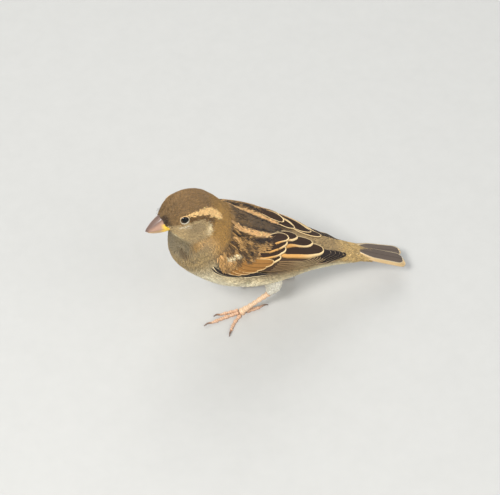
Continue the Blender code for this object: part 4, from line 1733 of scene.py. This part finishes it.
    def bed(self) -> Piece:
        """Builds the bed that fills the wing under its feathers.

        Returns:
            The bed.
        """
        label = self.side.label
        piece = refined(f"{label}_wing_bed", tuple(f"{label}_{part}" for part in WING), 0.7, 6)
        shrink(piece, self.thinned)
        points = Mesh.points(piece)
        Mesh.move(piece, self.shell.sunk(points, self.shell.locate(points), self.sunk))
        Mesh.colour(piece, "Markings", painted(Hue.SHOULDER_DARK, points[:, 0]) * self.shade)
        dress(piece, PLUMAGE.material(), (f"{label}_wing_coverts",))
        return piece

    def build(self) -> list[Piece]:
        """Builds the wing's pieces.

        Returns:
            The bed and the rows of large feathers.
        """
        tones = np.random.default_rng(21)
        made = [self.bed()]
        for name, slot, vanes, node in (
                ("flight_feathers", "primary_feathers", self.flight(), "wing_primaries"),
                ("tertials", "secondary_feathers", self.inner(), "wing_secondaries"),
                ("greater_coverts", "covert_feathers", self.coverts(), "wing_coverts")):
            blades = VaneMesh()
            for vane in vanes:
                self.lay(blades, vane)
            piece = blades.build(f"{self.side.label}_{name}", tones)
            dress(piece, WEB.material(), (f"{self.side.label}_{node}",))
            made.append(piece)
        return made


@dataclass
class Back:
    """The soft feathers that lie over the wings: mantle, shoulder feathers and small coverts."""

    shell: Shell

    def build(self) -> list[Piece]:
        """Grows the tracts over the wings' roots.

        Returns:
            One piece for each tract.
        """
        coverts = dict(contrast=0.0, uneven=0.07, locks=6)
        tracts = [
            Tract("small_coverts", "covert_feathers", self.shell, (2.3, 2.62), (56, 92), shoulder_colours,
                  spacing=1.1, lengths=(5.0, 5.5), width=2.6, lift=0.75, seed=31, **coverts),
            Tract("median_coverts", "covert_feathers", self.shell, (2.3, 2.8), (36, 60), shoulder_colours,
                  spacing=1.15, lengths=(5.0, 6.0), width=2.8, lift=0.85, seed=33, **coverts),
            Tract("shoulder_feathers", "covert_feathers", self.shell, (2.15, 3.05), (18, 42), mantle_colours,
                  spacing=1.1, lengths=(5.0, 6.5), width=2.8, lift=0.95, seed=34, **coverts),
            Tract("mantle_feathers", "breast_feathers", self.shell, (2.0, 3.5), (0, 24), mantle_colours,
                  spacing=1.05, lengths=(5.0, 7.0), width=2.7, lift=0.9, seed=32, **coverts),
        ]
        return [tract.build(PLUMAGE.material()) for tract in tracts]


@dataclass
class Tail:
    """Twelve tail feathers, folded, the middle pair on top.

    Sizes are in millimetres, but the arch, which bends the tail down at its sides, is per metre. From pair
    to pair the roots and the tips lie farther out, the tips farther back and the whole feather lower.
    """

    pairs: int = 6
    width: float = 7.4
    notch: float = 1.6
    notch_step: float = 0.3
    step_down: float = 0.2
    right_down: float = 0.1
    root_out: Pair = (1.2, 0.25)
    tip_out: Pair = (3.0, 0.26)
    inset: float = 1.5
    probes: Pair = (5.0, 3.0)
    arch: float = 9.0

    def build(self) -> Piece:
        """Lays the feathers on the slope of the tail's solid.

        Returns:
            The tail.
        """
        low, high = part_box("tail")
        tree = tree_of("tail")
        ends = [tree.ray_cast(Vector((x, 0, high.z + 5 * MM)), Vector((0, 0, -1)))[0]
                for x in (low.x + self.probes[0] * MM, high.x - self.probes[1] * MM)]
        slope = (ends[1].z - ends[0].z) / (ends[1].x - ends[0].x)
        up = np.array(Vector((-slope, 0, 1)).normalized())

        def drape(points: Array, normals: Array) -> Double:
            """Lays points on the tail's slope.

            Args:
                points: the points, in metres.
                normals: the directions asked for; not used, as the slope's own replace them.

            Returns:
                The laid points, and the slope's direction up.
            """
            laid = points.copy()
            laid[:, 2] = ends[0].z + (points[:, 0] - ends[0].x) * slope - self.arch * points[:, 1] ** 2
            return laid, np.broadcast_to(up, points.shape)

        blades = VaneMesh()
        for pair in reversed(range(self.pairs)):
            for side in Side:
                root_y, tip_y = (-side.value * (first + step * pair) * MM
                                 for first, step in (self.root_out, self.tip_out))
                root = np.array([low.x + self.inset * MM, root_y, ends[0].z])
                tip = np.array([high.x - (self.notch - self.notch_step * pair) * MM, tip_y, ends[1].z])
                line = root + (tip - root) * VaneMesh.ROWS[:, None]
                line, normals = drape(line, line)
                outwards = np.broadcast_to([0, -side.value, 0.0], line.shape)
                lift = np.full(len(line), -self.step_down * pair - self.right_down * (side is Side.RIGHT))
                style = CENTRAL_TAIL if pair == 0 else OUTER_TAIL
                blades.add(line, normals, outwards, self.width, lift, style, drape)
        piece = blades.build("tail_feathers", np.random.default_rng(41))
        dress(piece, WEB.material(), ("tail",))
        return piece


@dataclass
class Bill:
    """The two mandibles, finely modelled, with nostrils and the yellow gape.

    Places are the head's own, in millimetres: ahead of the eyes, above them and out from the middle. The
    solids are stretched along these directions from the tip, so that the root spreads over the face.
    """

    head: Head
    grain: float = 0.2
    nostril: tuple[float, float, float] = (9.3, -2.4, 2.6)
    nostril_reach: float = 0.75
    nostril_depth: float = 0.5
    stretch: tuple[float, float, float] = (1.17, 1.1, 1.14)
    tip: tuple[float, float, float] = (16.8, -6.2, 0.3)

    def drawn_out(self, points: Array) -> Array:
        """Draws a mandible out backwards from its tip.

        Args:
            points: its points, in metres.

        Returns:
            The points in their new places.
        """
        place = np.stack(self.head.place(points), axis=-1)
        place = np.array(self.tip) + (place - self.tip) * self.stretch
        axes = np.stack([self.head.ahead, np.array([0, 0, 1.0]), self.head.left])
        return self.head.middle + place @ axes * MM

    def colours(self, points: Array, lower: bool) -> Array:
        """Colours a mandible: horn, yellow at the gape, dark along the ridge and at the tip.

        Args:
            points: its points, in metres.
            lower: whether it is the lower one.

        Returns:
            A linear colour for each point.
        """
        ahead, up, _ = self.head.place(points)
        point = (Hue.HORN_DARK, 0.7 * ease(15.5, 18, ahead))
        if lower:
            return painted(Hue.BILL_YELLOW, ahead, (Hue.GAPE, 1 - ease(8.6, 12.0, ahead)), point)
        ridge = (ahead - 9) * -0.62
        gape = (1 - ease(8.4, 11.4, ahead)) * (1 - ease(-3.2, -1.8, up))
        dark = 0.75 * ease(-1.6, 0.2, up - ridge)
        return painted(Hue.HORN, ahead, (Hue.HORN_DARK, dark), (Hue.GAPE, gape), point)

    def build(self) -> list[Piece]:
        """Builds both mandibles.

        Returns:
            The upper and the lower one.
        """
        made = []
        for node, slot in (("upper_mandible", "upper_bill_horn"), ("lower_mandible", "lower_bill_horn")):
            piece = refined(f"{node}_horn", (node,), self.grain, 4)
            points = self.drawn_out(Mesh.points(piece))
            lower = node.startswith("lower")
            colours = self.colours(points, lower)
            if not lower:
                ahead, up, out = self.head.place(points)
                gap = np.sqrt((ahead - self.nostril[0]) ** 2 * 0.6 + (up - self.nostril[1]) ** 2
                              + (np.abs(out) - self.nostril[2]) ** 2)
                pit = 1 - ease(0, self.nostril_reach, gap)
                inwards = -np.sign(out)[:, None] * self.head.left
                points += inwards * (pit * self.nostril_depth * MM)[:, None]
                # The nostril's pit is painted dark, a painted shade for its opening.
                colours = blend(colours, Hue.LORES, ease(0.1, 0.6, pit))
            Mesh.move(piece, points)
            Mesh.colour(piece, "Markings", colours)
            dress(piece, HORN.material(), (node,))
            made.append(piece)
        return made


@dataclass
class Eye:
    """One eye, wet and dark, in its lids and a ring of short pale feathers.

    Sizes are in millimetres. The ring is stretched ahead and upwards by its shape's shares.
    """

    side: Side
    head: Head
    flesh: Shell
    rim: float = 1.62
    lid: float = 0.17
    bulge: float = 0.05
    ring_locks: int = 128
    ring_shape: Pair = (1.14, 0.97)
    ring_heights: tuple[float, ...] = (0.15, 0.34, 0.3, 0.15)
    centre: Array = field(init=False)
    radius: float = field(init=False)
    outwards: Array = field(init=False)

    def __post_init__(self) -> None:
        """Finds the eye's middle, its radius and the direction it looks in."""
        node = f"{self.side.label}_eye"
        low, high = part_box(node)
        self.centre, self.radius = middle(node), (high.z - low.z) / 2
        along, around, _ = self.flesh.locate(self.centre[None])
        self.outwards = unit(self.flesh.at(along, around)[1][0])

    def build(self) -> list[Piece]:
        """Builds the ball, the lids and the ring."""
        return [self.ball(), self.lids(), self.ring()]

    def ball(self) -> Piece:
        """Builds the eyeball, with its clear front a little raised.

        Returns:
            The eyeball.
        """
        bpy.ops.mesh.primitive_uv_sphere_add(segments=64, ring_count=32, radius=self.radius,
                                             location=self.centre)
        piece = settled(f"{self.side.label}_eyeball")
        points = Mesh.points(piece)
        facing = unit(points - self.centre) @ self.outwards
        swell = 1 + self.bulge * ease(0.75, 1, facing)
        Mesh.move(piece, self.centre + (points - self.centre) * swell[:, None])
        pupil = ease(0.86, 0.9, facing)[:, None]
        Mesh.colour(piece, "Markings", Hue.IRIS.rgb * (1 - 0.85 * pupil))
        dress(piece, CORNEA.material(), (f"{self.side.label}_eye",))
        return piece

    def lids(self) -> Piece:
        """Builds the bare rim of the lids, drawn out to a corner in front and behind.

        Returns:
            The lids.
        """
        inner_rim = (self.rim - 0.5 * self.lid) * MM
        place = self.centre + self.outwards * math.sqrt(self.radius ** 2 - inner_rim ** 2)
        turn = Vector((0, 0, 1)).rotation_difference(Vector(self.outwards)).to_euler()
        bpy.ops.mesh.primitive_torus_add(major_segments=72, minor_segments=14, major_radius=self.rim * MM,
                                         minor_radius=self.lid * MM, location=place, rotation=turn)
        piece = settled(f"{self.side.label}_eyelids")
        points = Mesh.points(piece)
        away = points - place
        ahead, up = away @ self.head.ahead / MM, away[:, 2] / MM
        stretch = 0.14 * np.clip(np.abs(ahead) / self.rim, 0, 1) ** 2
        points += np.sign(ahead)[:, None] * self.head.ahead * (stretch * self.rim * MM)[:, None]
        points[:, 2] -= up * 0.07 * MM
        Mesh.move(piece, points)
        Mesh.colour(piece, "Markings", painted(Hue.LID, ahead))
        dress(piece, LIDS.material())
        return piece

    def ring(self) -> Piece:
        """Grows the ring of short pale feathers round the lids.

        Returns:
            The ring.
        """
        draw = np.random.default_rng(51)
        count, outwards = self.ring_locks, self.outwards
        grow = Locks(ridge=0.3)
        stops = grow.places
        turn = np.linspace(0, 2 * math.pi, count, endpoint=False) + draw.normal(0, 0.02, count)
        ahead = unit(self.head.ahead - outwards * (self.head.ahead @ outwards))
        upwards = np.cross(outwards, ahead)
        upwards = upwards * np.sign(upwards[2])
        rays = (np.cos(turn)[:, None] * ahead * self.ring_shape[0]
                + np.sin(turn)[:, None] * upwards * self.ring_shape[1])
        swept = unit(rays - 0.4 * ahead)
        start = self.centre + rays * (self.rim + 0.12) * MM
        length = draw.uniform(0.38, 0.55, count) * MM
        paths = start[:, None] + swept[:, None] * (stops[None] * length[:, None])[..., None]
        tree = self.flesh.tree()
        for path in paths:
            for stop, height in enumerate(self.ring_heights):
                hit = tree.ray_cast(Vector(path[stop] + outwards * 9 * MM), -Vector(outwards), 12 * MM)[0]
                if hit is not None:
                    path[stop] = np.array(hit) + outwards * height * MM
        above = ease(0.2, 0.9, np.sin(turn))
        pale = painted(Hue.EYE_RING, above, (Hue.BROW, above),
                       (Hue.CHEEK, 0.75 * ease(0.7, 1, np.abs(np.cos(turn)))))
        # Each lock is painted darker at its root and a little lighter at its tip: painted shade at the root.
        colours = pale[:, None] * np.linspace(0.75, 1.05, len(stops))[None, :, None]
        normals = np.broadcast_to(outwards, paths.shape)
        roots = np.stack([0.5 + 0.3 * np.cos(turn), 0.5 + 0.3 * np.sin(turn)], axis=1)
        piece = grow.build(f"{self.side.label}_eye_ring", paths, normals, np.full(count, 0.24 * MM), colours,
                           roots)
        dress(piece, PLUMAGE.material())
        return piece


@dataclass
class Bristles:
    """The short dark bristles that lean over the bill's root."""

    flesh: Shell
    head: Head
    count: int = 12
    length: float = 2.3
    width: float = 0.16
    droop: float = 0.5

    def build(self) -> Piece:
        """Grows the bristles of both sides as one piece.

        Returns:
            The bristles.
        """
        draw = np.random.default_rng(61)
        around = np.concatenate([side.value * draw.uniform(30, 66, self.count) for side in Side])
        roots, normals = self.flesh.at(draw.uniform(0.09, 0.2, len(around)), around)
        grow = Locks(ridge=0.5)
        length = self.length * draw.uniform(0.7, 1.1, len(around)) * MM
        heading = unit(self.head.ahead + 0.25 * normals + draw.normal(0, 0.1, normals.shape))
        run = grow.places * length[:, None]
        paths = roots[:, None] - normals[:, None] * 0.3 * MM + heading[:, None] * run[..., None]
        paths[..., 2] -= self.droop * MM * grow.places ** 2
        places = np.stack([around % 360 / 360, np.linspace(0.1, 0.9, len(around))], axis=1)
        piece = grow.build("bill_bristles", paths, np.repeat(normals[:, None], paths.shape[1], axis=1),
                           np.full(len(around), self.width * MM), painted(Hue.LORES, paths[..., 0]) * 0.6,
                           places)
        dress(piece, PLUMAGE.material())
        return piece


@dataclass
class Leg:
    """One bare leg: the shank, the toes with their scutes, and the claws.

    Sizes are in millimetres: the length of a scute and of a pad, the depth of the grooves between scutes
    and of the hollows between pads, the swell of it all over the solids, and the claws' arch and curl.
    """

    side: Side
    scute: float = 1.15
    groove: float = 0.1
    pad: float = 3.1
    hollow: float = 0.14
    swell: float = 0.16
    arch: float = 0.5
    curl: float = 0.7
    toe_tan: float = 0.35
    toes: tuple[str, ...] = ("inner", "middle", "outer", "hind")

    def scaled(self, node: str) -> Piece:
        """Builds a shank or a toe, grooved across between its scutes.

        Args:
            node: its CAD node.

        Returns:
            The piece.
        """
        piece = refined(f"{node}_skin", (node,), 0.18, 3)
        points = Mesh.points(piece)
        heart = points.mean(axis=0)
        length = np.linalg.svd(points - heart, full_matrices=False)[2][0]
        along = (points - heart) @ length / MM
        normals = np.empty(len(points) * 3, np.float32)
        piece.data.vertex_normals.foreach_get("vector", normals)
        normals = normals.reshape(-1, 3).astype(float)
        wave = (along / self.scute) % 1
        groove = 1 - ease(0.0, 0.16, np.minimum(wave, 1 - wave))
        front = ease(-0.35, 0.35, normals[:, 2] - 0.6 * normals[:, 0])
        pads = self.hollow * np.sin(along * 2 * math.pi / self.pad)
        points += normals * ((self.swell + pads - groove * front * self.groove) * MM)[:, None]
        points[:, 2] = np.maximum(points[:, 2], 0)
        Mesh.move(piece, points)
        tan = self.toe_tan if node.endswith("toe") else 0.0
        # Darker towards LEG_DARK: the toes all over, the grooves between the scutes on the sides that face up
        # and forward, and, as painted shade, the sides that face down and aft.
        dark = np.minimum(1, tan + 0.65 * groove * front + 0.35 * (1 - front))
        Mesh.colour(piece, "Markings", painted(Hue.LEG, along, (Hue.LEG_DARK, dark)))
        dress(piece, SCALY.material(), (node,))
        return piece

    def claw(self, node: str, root: Array) -> Piece:
        """Builds a claw, pale at its root and dark at its tip.

        Args:
            node: its CAD node.
            root: the middle of its toe, in metres.

        Returns:
            The claw.
        """
        piece = refined(f"{node}_horn", (node,), 0.12, 2)
        points = Mesh.points(piece)
        far = np.linalg.norm(points - root, axis=1)
        way = (far - far.min()) / (far.max() - far.min())
        forward = unit(points[np.argmax(far)] - root)
        points -= forward * (self.curl * MM * way ** 2)[:, None]
        points[:, 2] += self.arch * MM * np.sin(math.pi * way)
        Mesh.move(piece, points)
        Mesh.colour(piece, "Markings", painted(Hue.CLAW_ROOT, way, (Hue.CLAW, ease(0, 0.6, way))))
        dress(piece, CLAW.material(), (node,))
        return piece

    def build(self) -> list[Piece]:
        """Builds the whole leg below the shin.

        Returns:
            The shank, then each toe and its claw.
        """
        label = self.side.label
        made = [self.scaled(f"{label}_tarsus")]
        for toe in self.toes:
            made.append(self.scaled(f"{label}_{toe}_toe"))
            made.append(self.claw(f"{label}_{toe}_claw", middle(f"{label}_{toe}_toe")))
        return made


@dataclass
class Studio:
    """The pale floor, the soft lights and the camera."""

    azimuth: float = -14.0
    elevation: float = 49.0
    distance: float = 0.8
    aim: tuple[float, float, float] = (-0.01176, 0.01354, 0.02416)
    lens: float = 110.13
    floor_size: float = 4.0
    air: tuple[float, float, float, float] = (0.9, 0.95, 1.0, 1.0)
    air_strength: float = 0.7

    def floor(self) -> None:
        """Lays the floor under the feet."""
        bpy.ops.mesh.primitive_plane_add(size=self.floor_size)
        floor = settled("floor")
        Mesh.colour(floor, "Markings", painted(Hue.FLOOR, np.zeros(len(floor.data.vertices))))
        floor.data.materials.append(GROUND.material())

    def light(self, name: str, place: tuple[float, float, float], size: float, power: float) -> None:
        """Hangs a square soft light that faces the bird.

        Args:
            name: its name.
            place: where it hangs, in metres.
            size: how wide it is, in metres.
            power: how bright it is, in watts.
        """
        bpy.ops.object.light_add(type="AREA", location=place)
        lamp = bpy.context.active_object
        lamp.name = name
        lamp.data.size = size
        lamp.data.energy = power
        lamp.rotation_euler = (Vector(self.aim) - Vector(place)).to_track_quat("-Z", "Y").to_euler()

    def camera(self) -> None:
        """Places the camera ahead of the bird's left side, looking down on it."""
        turn, rise = math.radians(self.azimuth), math.radians(self.elevation)
        look = Vector((-math.cos(rise) * math.sin(turn), math.cos(rise) * math.cos(turn), -math.sin(rise)))
        bpy.ops.object.camera_add(location=Vector(self.aim) - look * self.distance,
                                  rotation=look.to_track_quat("-Z", "Y").to_euler())
        camera = bpy.context.active_object
        camera.data.lens = self.lens
        camera.data.sensor_width = 36
        camera.data.clip_start = 0.01
        bpy.context.scene.camera = camera

    def build(self) -> None:
        """Sets up the whole studio."""
        self.floor()
        self.light("key light", (-0.6, -0.55, 1.05), 0.34, 15.0)
        self.light("fill light", (0.9, -0.9, 0.9), 1.2, 6.0)
        self.light("back light", (0.2, 1.1, 1.0), 1.0, 7.5)
        world = bpy.data.worlds.new("Studio air")
        world.use_nodes = True
        world.node_tree.nodes["Background"].inputs["Color"].default_value = self.air
        world.node_tree.nodes["Background"].inputs["Strength"].default_value = self.air_strength
        bpy.context.scene.world = world
        self.camera()
        bpy.context.scene.view_settings.view_transform = "Standard"
        log.info("studio set")


def main() -> None:
    """Builds the bird piece by piece, then the studio round it, and notes the sizes."""
    logging.basicConfig(level=logging.INFO, format="%(name)s: %(message)s")
    spine = Spine()
    sides = [side.label for side in Side]
    flesh = Shell(spine, (*FLESH, "tail", *(f"{side}_eye" for side in sides)))
    wings = tuple(f"{side}_{part}" for side in sides for part in WING)
    outside = Shell(spine, (*FLESH, "tail", *wings))
    head, markings = Head(), Markings()
    bill = searchable(Bill(head).build())
    Skin(flesh, markings, bill).build()
    Coat(flesh, outside, markings, bill).build()
    Back(outside).build()
    tree = outside.tree()
    for side in Side:
        Wing(side, outside, tree).build()
        Leg(side).build()
    Tail().build()
    for side in Side:
        Eye(side, head, flesh).build()
    Bristles(flesh, head).build()
    Studio().build()


if __name__ == "__main__":
    main()
